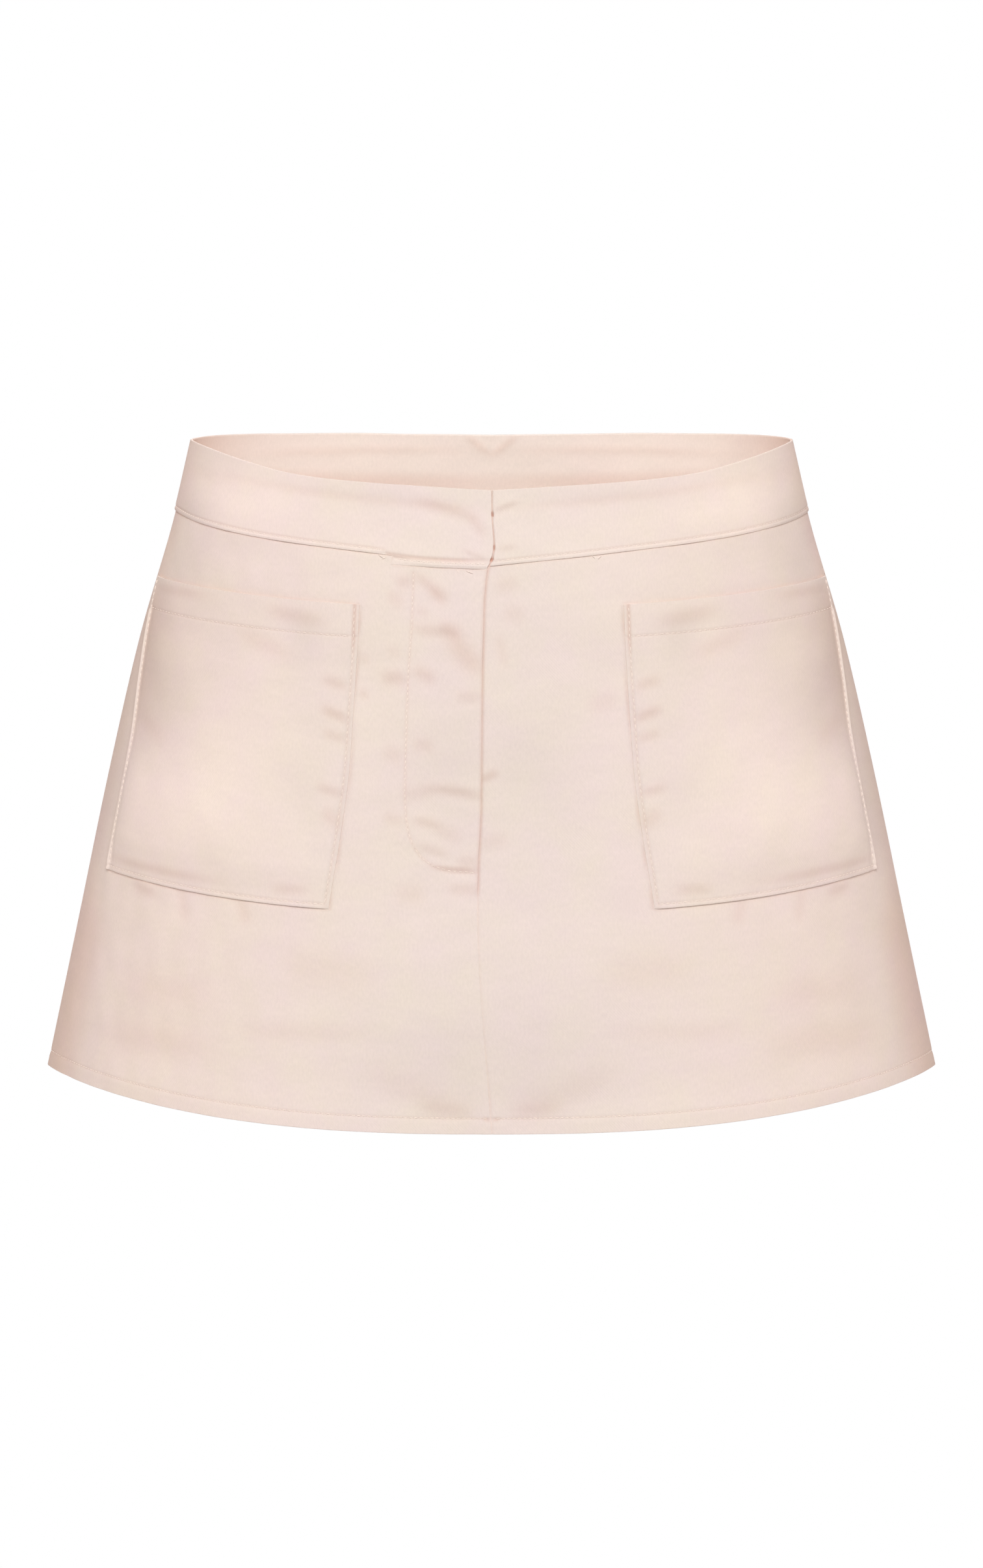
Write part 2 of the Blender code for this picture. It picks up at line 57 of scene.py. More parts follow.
def held(name, data, turn, rise, away):
    """A camera or lamp that faces the garment, turned round and raised in degrees."""
    turn, rise = math.radians(turn), math.radians(rise)
    toward = Vector((math.sin(turn) * math.cos(rise), -math.cos(turn) * math.cos(rise),
                     math.sin(rise)))
    placed = bpy.data.objects.new(name, data)
    placed.location = LOOK_AT + toward * away
    placed.rotation_euler = toward.to_track_quat("Z", "Y").to_euler()
    bpy.context.scene.collection.objects.link(placed)
    return placed


camera = held("camera", bpy.data.cameras.new("camera"), 0.0, CAMERA_RISE, CAMERA_AWAY)
camera.data.sensor_width = 36.0
camera.data.lens = CAMERA_LENS
bpy.context.scene.camera = camera

# ------------ studio
# Four wide soft lamps, a little light from all round, and a pale floor where the wearer
# would stand, which fades into the white behind everything.

ROUND_LIGHT = 0.12
ROUND_COLOUR = (1.0, 0.97, 0.95)
WHITE = (1.0, 1.0, 1.0, 1.0)
LAMP_AWAY = 3.5
LAMP_SIZE = 1.5
NEUTRAL = (1.0, 0.995, 0.995)
WARM = (1.0, 0.82, 0.76)
FLOOR_DROP = 1.08
FLOOR_RADIUS = 1.5
FLOOR_COLOUR = (0.86, 0.85, 0.84, 1.0)
FADE_FROM = 0.55        # how far from the middle the floor begins and ends its fading
FADE_TO = 1.35


def feed(tree, socket, value):
    """Set a socket's value, or link in an output or a node's first output."""
    if isinstance(value, bpy.types.Node):
        value = next(output for output in value.outputs if output.enabled)
    if isinstance(value, bpy.types.NodeSocket):
        tree.links.new(value, socket)
    else:
        socket.default_value = value


def node(tree, kind, *inputs, **values):
    """Add a shader node; its inputs are fed in order, or by name like its properties."""
    made = tree.nodes.new("ShaderNode" + kind)
    for name, value in values.items():
        if hasattr(made, name):
            setattr(made, name, value)
        else:
            feed(tree, made.inputs[name.replace("_", " ")], value)
    for socket, value in zip(made.inputs, inputs):
        feed(tree, socket, value)
    return made


def new_material(name, roughness=0.5):
    """A material, its node tree and its shader."""
    material = bpy.data.materials.new(name)
    material.use_nodes = True
    shader = material.node_tree.nodes["Principled BSDF"]
    shader.inputs["Roughness"].default_value = roughness
    return material, material.node_tree, shader


def seen_directly(tree):
    """1 for rays from the camera, or from its mirror image in metal and glass."""
    path = node(tree, "LightPath").outputs
    either = node(tree, "Math", path["Is Camera Ray"], path["Is Glossy Ray"],
                  operation="MAXIMUM")
    return node(tree, "Math", either, path["Is Transmission Ray"], operation="MAXIMUM")


world = bpy.data.worlds.new("studio")
world.use_nodes = True
bpy.context.scene.world = world
tree = world.node_tree
tree.nodes.clear()
even = node(tree, "Background", Color=(*ROUND_COLOUR, 1.0), Strength=ROUND_LIGHT)
white = node(tree, "Background", Color=WHITE, Strength=1.0)
node(tree, "OutputWorld", node(tree, "MixShader", seen_directly(tree), even, white))

bpy.context.scene.view_settings.view_transform = "Standard"


def lamp(name, turn, rise, level, colour):
    """A square soft lamp that lights the garment by its level."""
    light = bpy.data.lights.new(name, "AREA")
    light.size = LAMP_SIZE
    light.energy = level * (math.pi * LAMP_AWAY) ** 2
    light.color = colour
    held(name, light, turn, rise, LAMP_AWAY)


lamp("front_lamp", 0.0, 33.0, 0.81, NEUTRAL)
lamp("back_lamp", 180.0, 30.0, 0.77, NEUTRAL)
lamp("left_lamp", 88.0, 20.0, 0.29, WARM)
lamp("right_lamp", -88.0, 20.0, 0.29, WARM)

bpy.ops.mesh.primitive_circle_add(vertices=96, radius=FLOOR_RADIUS, fill_type="NGON",
                                  location=(0.0, 0.0, -FLOOR_DROP))
floor = bpy.context.object
floor.name = "floor"
paper, tree, shader = new_material("studio_paper", 0.9)
shader.inputs["Base Color"].default_value = FLOOR_COLOUR
away = node(tree, "VectorMath", node(tree, "TexCoord").outputs["Object"], operation="LENGTH")
fade = node(tree, "MapRange", away, From_Min=FADE_FROM, From_Max=FADE_TO)
shown = node(tree, "Math", fade, seen_directly(tree), operation="MULTIPLY")
glow = node(tree, "Emission", Color=WHITE, Strength=1.0)
feed(tree, tree.nodes["Material Output"].inputs["Surface"],
     node(tree, "MixShader", shown, shader, glow))
floor.data.materials.append(paper)

# ------------ back of the skirt
# One flared panel of pale cotton twill, cut with the grain down the centre back. Its sides
# carry seam allowances under the front panels, and its hem is turned up and topstitched.


def table(kind, *rows):
    """Rows of numbers, read by the names of their columns."""
    return tuple(kind(*row) for row in rows)


MM = 0.001
Section = namedtuple("Section", "drop half_width front back "
                                "front_square front_round back_square back_round")
SKIRT = table(Section,
    (0, 151.9, 101, 100, 2, 0.75, 2, 0.64),
    (40, 161.5, 111, 112, 2.05, 0.76, 2, 0.64),
    (100, 179.2, 123, 128, 2.2, 0.79, 2.05, 0.64),
    (170, 195.9, 135, 142, 2.35, 0.82, 2.1, 0.65),
    (250, 213.1, 146, 150, 2.45, 0.84, 2.1, 0.65),
    (325, 229.4, 156, 155, 2.5, 0.85, 2.1, 0.65))
Edge = namedtuple("Edge", "share drop")
SEAM_BACK = table(Edge,
    (0, 47.5), (0.25, 45.6), (0.5, 43), (0.8, 39), (1, 36.2))
HEM_DROP = 325.0
HEM_STITCH = 317.2
PANEL_WALL = 0.8
SEAM_TUCK = 2.6         # how far a panel's top runs up inside the waistband
SEAM_SINK = 0.72        # how far it lies inside its form there
ALLOWANCE = 6.0         # what the back panel carries under each front at the side seams
ALLOWANCE_SINK = 1.05
HEM_PITCH = 2.6
THREAD = 0.42
STITCH_COVER = 0.70     # the part of the pitch that a stitch covers
PIT = 0.6               # length of the pit that a needle leaves between two stitches
# Painted shade: the cloth's colour is multiplied by this once for each unit of shade.
ONE_BOUNCE = (0.900, 0.815, 0.785)      # what is left of light thrown once more by the cloth


def curve(rows, column, at):
    """Read a table by a cubic that never swings past its rows."""
    xs = np.array([row[0] for row in rows], float)
    ys = np.array([row[column] for row in rows], float)
    slopes = np.diff(ys) / np.diff(xs)
    before, after = slopes[:-1], slopes[1:]
    total = np.where(before + after == 0, 1.0, before + after)
    inside = np.where(before * after > 0, 2 * before * after / total, 0.0)
    tangents = np.concatenate((slopes[:1], inside, slopes[-1:]))
    at = np.clip(at, xs[0], xs[-1])
    k = np.clip(np.searchsorted(xs, at) - 1, 0, len(xs) - 2)
    span = xs[k + 1] - xs[k]
    t = (at - xs[k]) / span
    return ((2 * t**3 - 3 * t**2 + 1) * ys[k] + (t**3 - 2 * t**2 + t) * span * tangents[k]
            + (3 * t**2 - 2 * t**3) * ys[k + 1] + (t**3 - t**2) * span * tangents[k + 1])


def step(value, low, high):
    """Rise smoothly from 0 at low to 1 at high."""
    t = np.clip((value - low) / (high - low), 0.0, 1.0)
    return t * t * (3 - 2 * t)


# A form: its outline at every millimetre of drop, as points at even shares from 0 to 2, the
# outward direction at each, and the lengths of its front and back quarters.
Form = namedtuple("Form", "points outward front_length back_length")
FORM_SHARES = np.linspace(0.0, 2.0, 1201)
FORM_DROPS = np.arange(0.0, HEM_DROP + 1.5)


def quarter(centre, half_width, depth, square, roundness):
    """Length, x and y along an outline, from where it meets x = 0 to its widest point."""
    start = -math.asin(min(centre / half_width, 1.0) ** (square / 2))
    angle = np.linspace(start, math.pi / 2, 1500)
    across = np.sign(np.sin(angle)) * np.abs(np.sin(angle)) ** (2 / square)
    x = centre + half_width * across
    y = depth * np.abs(np.cos(angle)) ** (2 * roundness)
    return np.concatenate(([0.0], np.cumsum(np.hypot(np.diff(x), np.diff(y))))), x, y


def make_form(level, closed):
    """Build a form from level(drop), which gives a section, a centre and a half width."""
    points = np.zeros((len(FORM_DROPS), len(FORM_SHARES), 3))
    lengths = np.zeros((len(FORM_DROPS), 2))
    middle = len(FORM_SHARES) // 2
    for j, drop in enumerate(FORM_DROPS):
        s, centre, half_width = level(drop)
        for part, depth, square, roundness in ((0, -s.front, s.front_square, s.front_round),
                                               (1, s.back, s.back_square, s.back_round)):
            length, x, y = quarter(centre, half_width, depth, square, roundness)
            share = FORM_SHARES[:middle + 1] if part == 0 else 2 - FORM_SHARES[middle:]
            where = slice(0, middle + 1) if part == 0 else slice(middle, None)
            points[j, where, 0] = np.interp(share * length[-1], length, x)
            points[j, where, 1] = np.interp(share * length[-1], length, y)
            lengths[j, part] = length[-1]
        points[j, :, 2] = -drop
    along = np.gradient(points, axis=1)
    down = np.gradient(points, axis=0)
    outward = np.cross(down, along)
    if closed:
        outward[:, (0, -1), 0] = 0.0
    outward /= np.linalg.norm(outward, axis=2, keepdims=True)
    return Form(points, outward, lengths[:, 0], lengths[:, 1])


def read_level(rows, drop):
    return Section(drop, *(float(curve(rows, c, drop)) for c in range(1, len(rows[0]))))


def skirt_level(drop):
    section = read_level(SKIRT, drop)
    return section, 0.0, section.half_width


SKIRT_FORM = make_form(skirt_level, closed=True)


def place_on(form, share, drop):
    """Points and outward directions at shares and drops, by blending the form's grid."""
    share, drop = np.broadcast_arrays(np.asarray(share, float), np.asarray(drop, float))
    side = np.where(share < 0, -1.0, 1.0)
    share = np.abs(share)
    side = np.where(share > 2, -side, side)
    share = np.where(share > 2, 4 - share, share)
    i = share * (len(FORM_SHARES) - 1) / 2
    j = np.clip(drop, 0, HEM_DROP + 0.999)
    i0 = np.clip(i.astype(int), 0, len(FORM_SHARES) - 2)
    j0 = np.clip(j.astype(int), 0, len(FORM_DROPS) - 2)
    fi = (i - i0)[..., None]
    fj = (j - j0)[..., None]
    found = []
    for grid in (form.points, form.outward):
        upper = grid[j0, i0] * (1 - fi) + grid[j0, i0 + 1] * fi
        lower = grid[j0 + 1, i0] * (1 - fi) + grid[j0 + 1, i0 + 1] * fi
        value = upper * (1 - fj) + lower * fj
        value[..., 0] *= side
        found.append(value)
    return found[0], found[1] / np.linalg.norm(found[1], axis=-1, keepdims=True)


def back_half(drop):
    """Length from a side seam to the centre back."""
    return np.interp(drop, FORM_DROPS, SKIRT_FORM.back_length)


def ticks(length, spacing, fine=()):
    """Places from 0 to length, spacing apart, and closer near each (place, gap) in fine."""
    at = [0.0]
    while at[-1] < length:
        gaps = [max(gap, 0.4 * (abs(at[-1] - place) - gap)) for place, gap in fine]
        at.append(at[-1] + min([spacing] + gaps))
    return np.array(at) * (length / at[-1])


def run_along(points, axis=0):
    """Length from the first of the points along an axis to each."""
    steps = np.linalg.norm(np.diff(points, axis=axis), axis=-1)
    return np.insert(np.cumsum(steps, axis=axis), 0, 0.0, axis=axis)


def rolled(distance, radius):
    """How far a skin falls away at a rounded edge, by its distance from the edge."""
    t = np.clip(1 - distance / radius, 0.0, 1.0)
    return radius * (1 - np.sqrt(1 - t * t))


def as_piece(name, mesh, kinds, finishes):
    """Make a mesh a smooth piece of the garment; kinds gives each face's finish."""
    mesh.polygons.foreach_set("use_smooth", np.ones(len(mesh.polygons), bool))
    mesh.polygons.foreach_set("material_index", kinds.astype(np.int32))
    for finish in finishes:
        mesh.materials.append(finish)
    piece = bpy.data.objects.new(name, mesh)
    bpy.context.scene.collection.objects.link(piece)
    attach(piece, "root")
    return piece


def shell(name, outer, inner, cut, finish, inside_finish, painted_shade=0.0, inside_painted_shade=0.0,
          lift=0.0):
    """A thin closed shell of cloth between two skins of one grid; cut is its flat map.

    A skin's painted shade darkens and warms its colour as if light were thrown from cloth to
    cloth that many more times than elsewhere before it leaves, as in a fold or along a seam.
    The outer skin's lift is painted light: by that part it lightens the colour there, or
    darkens it below 0.
    """
    rows, columns = outer.shape[:2]
    count = rows * columns
    index = np.arange(count).reshape(rows, columns)
    a, b, c, d = index[:-1, :-1], index[:-1, 1:], index[1:, 1:], index[1:, :-1]
    face = np.stack((a, d, c, b), -1).reshape(-1, 4)
    back = np.stack((a, b, c, d), -1).reshape(-1, 4) + count
    rim = np.concatenate((index[0], index[1:, -1], index[-1, -2::-1], index[-2:0:-1, 0]))
    after = np.roll(rim, -1)
    edge = np.stack((rim, after, after + count, rim + count), -1)
    points = np.concatenate((outer.reshape(-1, 3), inner.reshape(-1, 3))) * MM
    mesh = bpy.data.meshes.new(name)
    mesh.from_pydata(points.tolist(), [], np.concatenate((face, edge, back)).tolist())
    kinds = np.arange(len(mesh.polygons)) >= len(face) + len(edge)
    corners = np.zeros(len(mesh.loops), np.int32)
    mesh.loops.foreach_get("vertex_index", corners)
    flat = np.concatenate((cut.reshape(-1, 2), cut.reshape(-1, 2))) * MM
    mesh.uv_layers.new(name="cut").data.foreach_set("uv", flat[corners].ravel())
    # Painted shade and painted light go onto the mesh as attributes that the twill reads.
    for kind, value, inside in (("painted_shade", painted_shade, inside_painted_shade), ("lift", lift, 0.0)):
        both = np.zeros((2, rows, columns))
        both[0], both[1] = value, inside
        mesh.attributes.new(kind, "FLOAT", "POINT").data.foreach_set("value", both.ravel())
    return as_piece(name, mesh, kinds, (finish, inside_finish))


def blend(tree, share, first, second):
    """A colour between two."""
    return node(tree, "Mix", data_type="RGBA", Factor=share, A=(*first, 1.0),
                B=(*second, 1.0))


def speckled(name, scale, detail, first, second, roughness=0.5):
    """A new material of two colours mixed by a fine noise, with that noise at the end."""
    material, tree, shader = new_material(name, roughness)
    noise = node(tree, "TexNoise", node(tree, "TexCoord").outputs["Object"], Scale=scale,
                 Detail=detail)
    feed(tree, shader.inputs["Base Color"], blend(tree, noise, first, second))
    return material, tree, shader, noise


def twill(name, colour, pinker, weave=1.0):
    """Fine cotton twill: matt, with a faint diagonal rib, soft nap and uneven dye."""
    material, tree, shader = new_material(name, 0.82)
    shader.inputs["Specular IOR Level"].default_value = 0.22
    shader.inputs["Sheen Weight"].default_value = 0.12
    shader.inputs["Sheen Roughness"].default_value = 0.55
    shader.inputs["Sheen Tint"].default_value = (1.0, 0.95, 0.92, 1.0)
    place = node(tree, "TexCoord").outputs
    clouds = node(tree, "TexNoise", place["Object"], Scale=26.0, Detail=4.0, Roughness=0.62)
    dye = blend(tree, node(tree, "MapRange", clouds, From_Min=0.36, From_Max=0.66), colour,
                pinker)
    slub = node(tree, "TexNoise", node(tree, "Mapping", place["UV"], Scale=(1.0, 0.45, 1.0)),
                Scale=900.0, Detail=2.0, Roughness=0.6)
    soft = node(tree, "TexNoise", node(tree, "Mapping", place["UV"], Scale=(0.3, 1.0, 1.0)),
                Scale=120.0, Detail=4.0, Roughness=0.6)
    fleck, streak = (
        node(tree, "MapRange", noise, From_Min=0.3, From_Max=0.7, To_Min=low, To_Max=high)
        for noise, low, high in ((slub, 0.972, 1.02), (soft, 0.985, 1.015)))
    both = node(tree, "Math", fleck, streak, operation="MULTIPLY")
    tone = node(tree, "VectorMath", dye, operation="SCALE", Scale=both)
    # Painted shade and painted light from the mesh darken or lighten the dyed colour.
    painted_shade = node(tree, "Attribute", attribute_name="painted_shade").outputs["Fac"]
    bounces = node(tree, "Gamma", (*ONE_BOUNCE, 1.0), painted_shade)
    deepen = node(tree, "VectorMath", tone, bounces, operation="MULTIPLY")
    lift = node(tree, "Attribute", attribute_name="lift").outputs["Fac"]
    level = node(tree, "Math", lift, 1.0, operation="ADD")
    feed(tree, shader.inputs["Base Color"],
         node(tree, "VectorMath", deepen, operation="SCALE", Scale=level))
    rib = node(tree, "TexWave", place["UV"], bands_direction="DIAGONAL", Scale=430.0,
               Distortion=1.2, Detail=1.0)
    height = node(tree, "Math", rib.outputs["Fac"], 0.6, slub, operation="MULTIPLY_ADD")
    feed(tree, shader.inputs["Normal"],
         node(tree, "Bump", Strength=0.22 * weave, Distance=0.00012, Height=height))
    return material


TWILL = twill("blush_twill", (0.857, 0.750, 0.663), (0.859, 0.732, 0.690))
# The wrong side is paler: partly its own colour, and partly painted light that makes up for the
# little light that reaches the insides.
TWILL_INSIDE = twill("blush_twill_inside", (0.886, 0.823, 0.760), (0.888, 0.810, 0.760))

THREAD_FINISH, tree, shader, strand = speckled("matching_thread", 1400.0, 1.0,
                                               (0.89, 0.77, 0.68), (0.95, 0.85, 0.765), 0.55)
shader.inputs["Sheen Weight"].default_value = 0.2
feed(tree, shader.inputs["Normal"],
     node(tree, "Bump", Strength=0.3, Distance=0.00008, Height=strand))

# A dark finish of painted shade for the pits that a needle leaves between stitches.
PIT_SHADE_FINISH, tree, shader = new_material("needle_pit_painted_shade", 0.95)
shader.inputs["Base Color"].default_value = (0.72, 0.58, 0.51, 1.0)
shader.inputs["Specular IOR Level"].default_value = 0.05


def bars(name, starts, ends, outward, thickness, rise, finishes, kinds=0):
    """Many short rounded bars joined in one mesh, their ends sunk by rise below the middle."""
    rings, sides = 5, 6
    t = np.linspace(0.0, 1.0, rings)
    bulge = np.array((0.45, 0.9, 1.0, 0.9, 0.45)) / 2
    height = np.array((-1.0, -0.25, 0.0, -0.25, -1.0))
    thickness, rise, kinds = (np.broadcast_to(v, len(starts)) for v in (thickness, rise, kinds))
    lengthways = ends - starts
    lengthways /= np.linalg.norm(lengthways, axis=1, keepdims=True)
    sideways = np.cross(lengthways, outward)
    centres = (starts[:, None] * (1 - t)[:, None] + ends[:, None] * t[:, None]
               + outward[:, None] * (rise[:, None] * height)[..., None])
    turn = np.linspace(0.0, 2 * math.pi, sides, endpoint=False)
    ring = (outward[:, None, None] * np.cos(turn)[:, None]
            + sideways[:, None, None] * np.sin(turn)[:, None])
    points = centres[:, :, None] + ring * (thickness[:, None] * bulge)[..., None, None]
    count = rings * sides
    faces = []
    for r in range(rings - 1):
        for k in range(sides):
            n = (k + 1) % sides
            faces.append((r * sides + k, r * sides + n, (r + 1) * sides + n, (r + 1) * sides + k))
    first = [tuple(range(sides))[::-1], tuple((rings - 1) * sides + k for k in range(sides))]
    quads = (np.array(faces)[None] + np.arange(len(starts))[:, None, None] * count)
    caps = (np.array(first)[None] + np.arange(len(starts))[:, None, None] * count)
    mesh = bpy.data.meshes.new(name)
    mesh.from_pydata((points.reshape(-1, 3) * MM).tolist(), [],
                     quads.reshape(-1, 4).tolist() + caps.reshape(-1, sides).tolist())
    kinds = np.concatenate((np.repeat(kinds, len(faces)), np.repeat(kinds, len(first))))
    return as_piece(name, mesh, kinds, finishes)


def sewn(name, share, drop, lift, pitch):
    """A row of stitches on the skirt's form, with a needle's pit of painted shade in each gap."""
    points, outward = place_on(SKIRT_FORM, share, drop)
    points = points + outward * np.asarray(lift)[:, None]
    run = run_along(points)
    count = max(int(round(run[-1] / pitch)), 1)
    pace = run[-1] / count
    begin = (np.arange(count) + (1 - STITCH_COVER) / 2) * pace
    end = begin + pace * STITCH_COVER
    pit = np.arange(count + 1) * pace

    def at(where, values):
        return np.stack([np.interp(where, run, values[:, k]) for k in range(3)], axis=1)

    middle = at(np.concatenate(((begin + end) / 2, pit)), outward)
    middle /= np.linalg.norm(middle, axis=1, keepdims=True)
    raised = np.concatenate((np.full(count, THREAD * 0.30), np.full(count + 1, -0.13)))
    starts = at(np.concatenate((begin, pit - PIT / 2)), points) + middle * raised[:, None]
    ends = at(np.concatenate((end, pit + PIT / 2)), points) + middle * raised[:, None]
    ends[-1] += (starts[-1] - starts[-2]) / pace * 0.01
    starts[count] -= (starts[count + 1] - starts[count]) / pace * 0.01
    kinds = np.repeat((0, 1), (count, count + 1))
    piece = bars(name, starts, ends, middle, np.where(kinds, 0.46, THREAD),
                np.where(kinds, 0.06, THREAD * 0.6), (THREAD_FINISH, PIT_SHADE_FINISH), kinds)
    return piece


def near(distance, width):
    """1 at a line, falling off within its width."""
    return np.exp(-(distance / width) ** 2)


def stitched(distance, depth=0.22, width=0.8):
    """The shallow trench that a row of stitches pulls into the cloth."""
    return -depth * near(distance, width)


# A crease runs between two points of the flat cut, always toward a larger across, with its
# middle raised by its bow. Its lean says how it's shaped: 0 is a trough, and 1 is a fold that
# stands out above and sinks below. Its last number says how much painted shade darkens it
# for its depth.
Crease = namedtuple("Crease", "across0 drop0 across1 drop1 width depth bow lean warm",
                    defaults=(0.0, 1.0, 1.1))


def along_crease(c, across, drop):
    """Distance above a crease in widths, and how fully it is there."""
    run, fall = c.across1 - c.across0, c.drop1 - c.drop0
    length = math.hypot(run, fall)
    t = ((across - c.across0) * run + (drop - c.drop0) * fall) / length**2
    off = ((across - c.across0) * fall - (drop - c.drop0) * run) / length
    off = (off - c.bow * 4 * t * (1 - t)) / c.width
    return off, step(t, -0.25, 0.35) * (1 - step(t, 0.65, 1.25))


def creased(across, drop, creases):
    """Sum of soft creases, raised above and below by no more than their depths."""
    total = 0.0
    for c in creases:
        off, reach = along_crease(c, across, drop)
        total += c.depth * reach * near(off, 1.0) * (c.lean * 2.33 * off - (1 - c.lean))
    return total


def crease_shade(across, drop, creases):
    """How much painted shade darkens the cloth in its creases."""
    total = 0.0
    for c in creases:
        off, reach = along_crease(c, across, drop)
        total += max(c.depth, 0.0) * c.warm * reach * near(off, 0.85)
    return total


def uneven(across, drop, seed, height=0.04):
    """Slow shallow waves that keep cloth from lying flat."""
    random = np.random.default_rng(seed)
    total = 0.0
    for wave in random.uniform(16.0, 62.0, 9):
        angle = random.uniform(0, math.pi)
        phase = random.uniform(0, 2 * math.pi)
        total += np.sin((across * math.cos(angle) + drop * math.sin(angle)) * 2 * math.pi / wave
                        + phase)
    return total * height


BACK_CREASES = table(Crease,
    (-150, 92, -84, 76, 9, 0.4, -3), (-128, 112, -92, 100, 6.5, 0.24, -2),
    (78, 72, 150, 96, 9, 0.38, 3), (88, 100, 118, 110, 6, 0.22, 2),
    (-62, 58, -14, 63, 5, 0.24, 1.5), (18, 60, 70, 57, 5.5, 0.22, 1.5),
    (-58, 84, 4, 90, 8, 0.26, 3), (12, 106, 66, 99, 7, 0.2, -2),
    (-205, 148, -150, 132, 10, 0.32, 2), (158, 128, 208, 150, 10, 0.3, 2),
    (-118, 160, -100, 300, 22, 1.1, 5, 0, 0), (-20, 185, -8, 305, 24, 0.9, 4, 0, 0),
    (86, 170, 112, 305, 22, 1.1, -4, 0, 0), (-196, 262, -96, 272, 9, 0.24, 2),
    (-150, 298, -60, 291, 8, 0.3, -2), (60, 286, 150, 296, 8, 0.28, 2),
    (-24, 309, 30, 311, 6, 0.18))
DART_ACROSS = 78.0
DART_TOP = 44.0
DART_END = 128.0
DART_SLANT = 0.10


def back_seam(share):
    return curve(SEAM_BACK, 1, np.abs(2 - share))


def hem_relief(drop):
    """The hem's row of stitches, and its turned-up layers standing a little proud."""
    return stitched(drop - HEM_STITCH) + 0.14 * step(drop, HEM_STITCH + 0.6, HEM_STITCH + 3)


def hem_wall(drop):
    return PANEL_WALL + 0.8 * step(drop, HEM_STITCH - 0.4, HEM_STITCH + 0.6)


def at_dart(across, drop):
    """Distance from the sewn line of a dart, and how far the dart still runs."""
    line = np.abs(across) - DART_ACROSS + (drop - DART_TOP) * DART_SLANT
    return line, 1 - step(drop, DART_END - 12, DART_END)


def back_relief(share, drop):
    """How far the back panel's outer skin stands off its form."""
    across = (share - 2) * back_half(drop)
    side = 1 - np.abs(2 - share)
    inside = step(side * back_half(drop), 4.0, 26.0)
    relief = inside * (creased(across, drop, BACK_CREASES) + uneven(across, drop, 11))
    top = step(drop - back_seam(share), 0.0, 14.0)
    dart, sewn_up = at_dart(across, drop)
    relief = relief * top - 0.35 * near(dart, 0.7) * sewn_up + hem_relief(drop)
    relief -= SEAM_SINK * (1 - step(drop - back_seam(share), -0.9, 0.7))
    return relief - ALLOWANCE_SINK * (1 - step(side * back_half(drop), -0.7, 0.1))


# Painted shade on the back panel: in its creases, along the hem's stitches, under the band's seam
# and along the darts.
def back_painted_shade(share, drop):
    across = (share - 2) * back_half(drop)
    dart, sewn_up = at_dart(across, drop)
    return (crease_shade(across, drop, BACK_CREASES) + 0.22 * near(drop - HEM_STITCH, 0.6)
            + 0.6 * near(drop - back_seam(share) - 0.3, 0.6) + 0.5 * near(dart, 0.6) * sewn_up)


def panel(name, share, drop, relief, edges, wall, across, finish, inside_finish, painted_shade=0.0,
          inside_painted_shade=0.0, lift=0.0):
    """A cloth panel over grids of shares and drops; edges round off first, last and hem."""
    points, outward = place_on(SKIRT_FORM, share, drop)
    along, down = run_along(points, 1), run_along(points)
    first, last, top, bottom = edges
    roll = np.zeros(share.shape)
    for distance, radius in ((along, first), (along[:, -1:] - along, last), (down, top),
                             (down[-1:] - down, bottom)):
        if np.any(np.asarray(radius) > 0):
            roll = np.maximum(roll, rolled(distance, np.maximum(radius, 0.01)))
    outer = points + outward * (relief - roll)[..., None]
    inner = points + outward * (relief - wall + roll)[..., None]
    cut = np.stack((across, -drop), axis=-1)
    return shell(name, outer, inner, cut, finish, inside_finish, painted_shade, inside_painted_shade, lift)


extra = ALLOWANCE / back_half(180.0)
columns = ticks(2 + 2 * extra, 0.0115, ((0.0, 0.003), (extra, 0.0006), (2 + extra, 0.0006),
                                        (2 + 2 * extra, 0.003))) + 1 - extra
levels = ticks(1.0, 0.0106, ((0.0, 0.0012), (0.971, 0.0022), (1.0, 0.0006)))
top = back_seam(columns) - SEAM_TUCK
drops = top + (HEM_DROP - top) * levels[:, None]
shares = np.broadcast_to(columns, drops.shape)
skirt_back = panel("skirt_back_cloth", shares, drops, back_relief(shares, drops),
                   (0.3, 0.3, 0.0, 0.4), hem_wall(drops), (shares - 2) * back_half(drops),
                   TWILL, TWILL_INSIDE, back_painted_shade(shares, drops))
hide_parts("skirt_back")
row = np.linspace(1.004, 2.996, 900)
hem_thread_back = sewn("hem_stitches_back", row, HEM_STITCH,
                       back_relief(row, np.full(row.shape, HEM_STITCH)), HEM_PITCH)

# ------------ fronts of the skirt
# Two flared twill panels meet at the centre front. The wearer's right one folds under along
# the fly, whose facing is held by a row of stitches shaped like a J; below it they are sewn.

SIDES = ((-1, "right"), (1, "left"))    # the sign of a side's shares, and its name
SEAM_FRONT = table(Edge,
    (0, 49.6), (0.07, 48), (0.22, 45.5), (0.31, 44.2), (0.42, 43.1), (0.52, 42.3), (0.62, 41.5),
    (0.74, 40.3), (0.86, 38.8), (0.94, 37.2), (1, 36.2))
LAP_END = 0.228         # share where the right band's deeper lap begins
LAP_STEP = 0.240
LAP_EDGE = table(Edge,
    (0, 51), (0.12, 50.4), (LAP_END, 49.8))
Offset = namedtuple("Offset", "drop across")
FRONT_LINE = table(Offset,
    (13, 0.1), (26, 0.3), (40, 1.2), (46, 0.1), (51, -1.9), (58, -2.9), (68, -3.7), (121, -4.8),
    (165, -5.2), (197, -6.6), (217.5, -6.9), (325, 0))
FLY_BASE = 206.0        # drop where the fold ends and the sewn seam begins
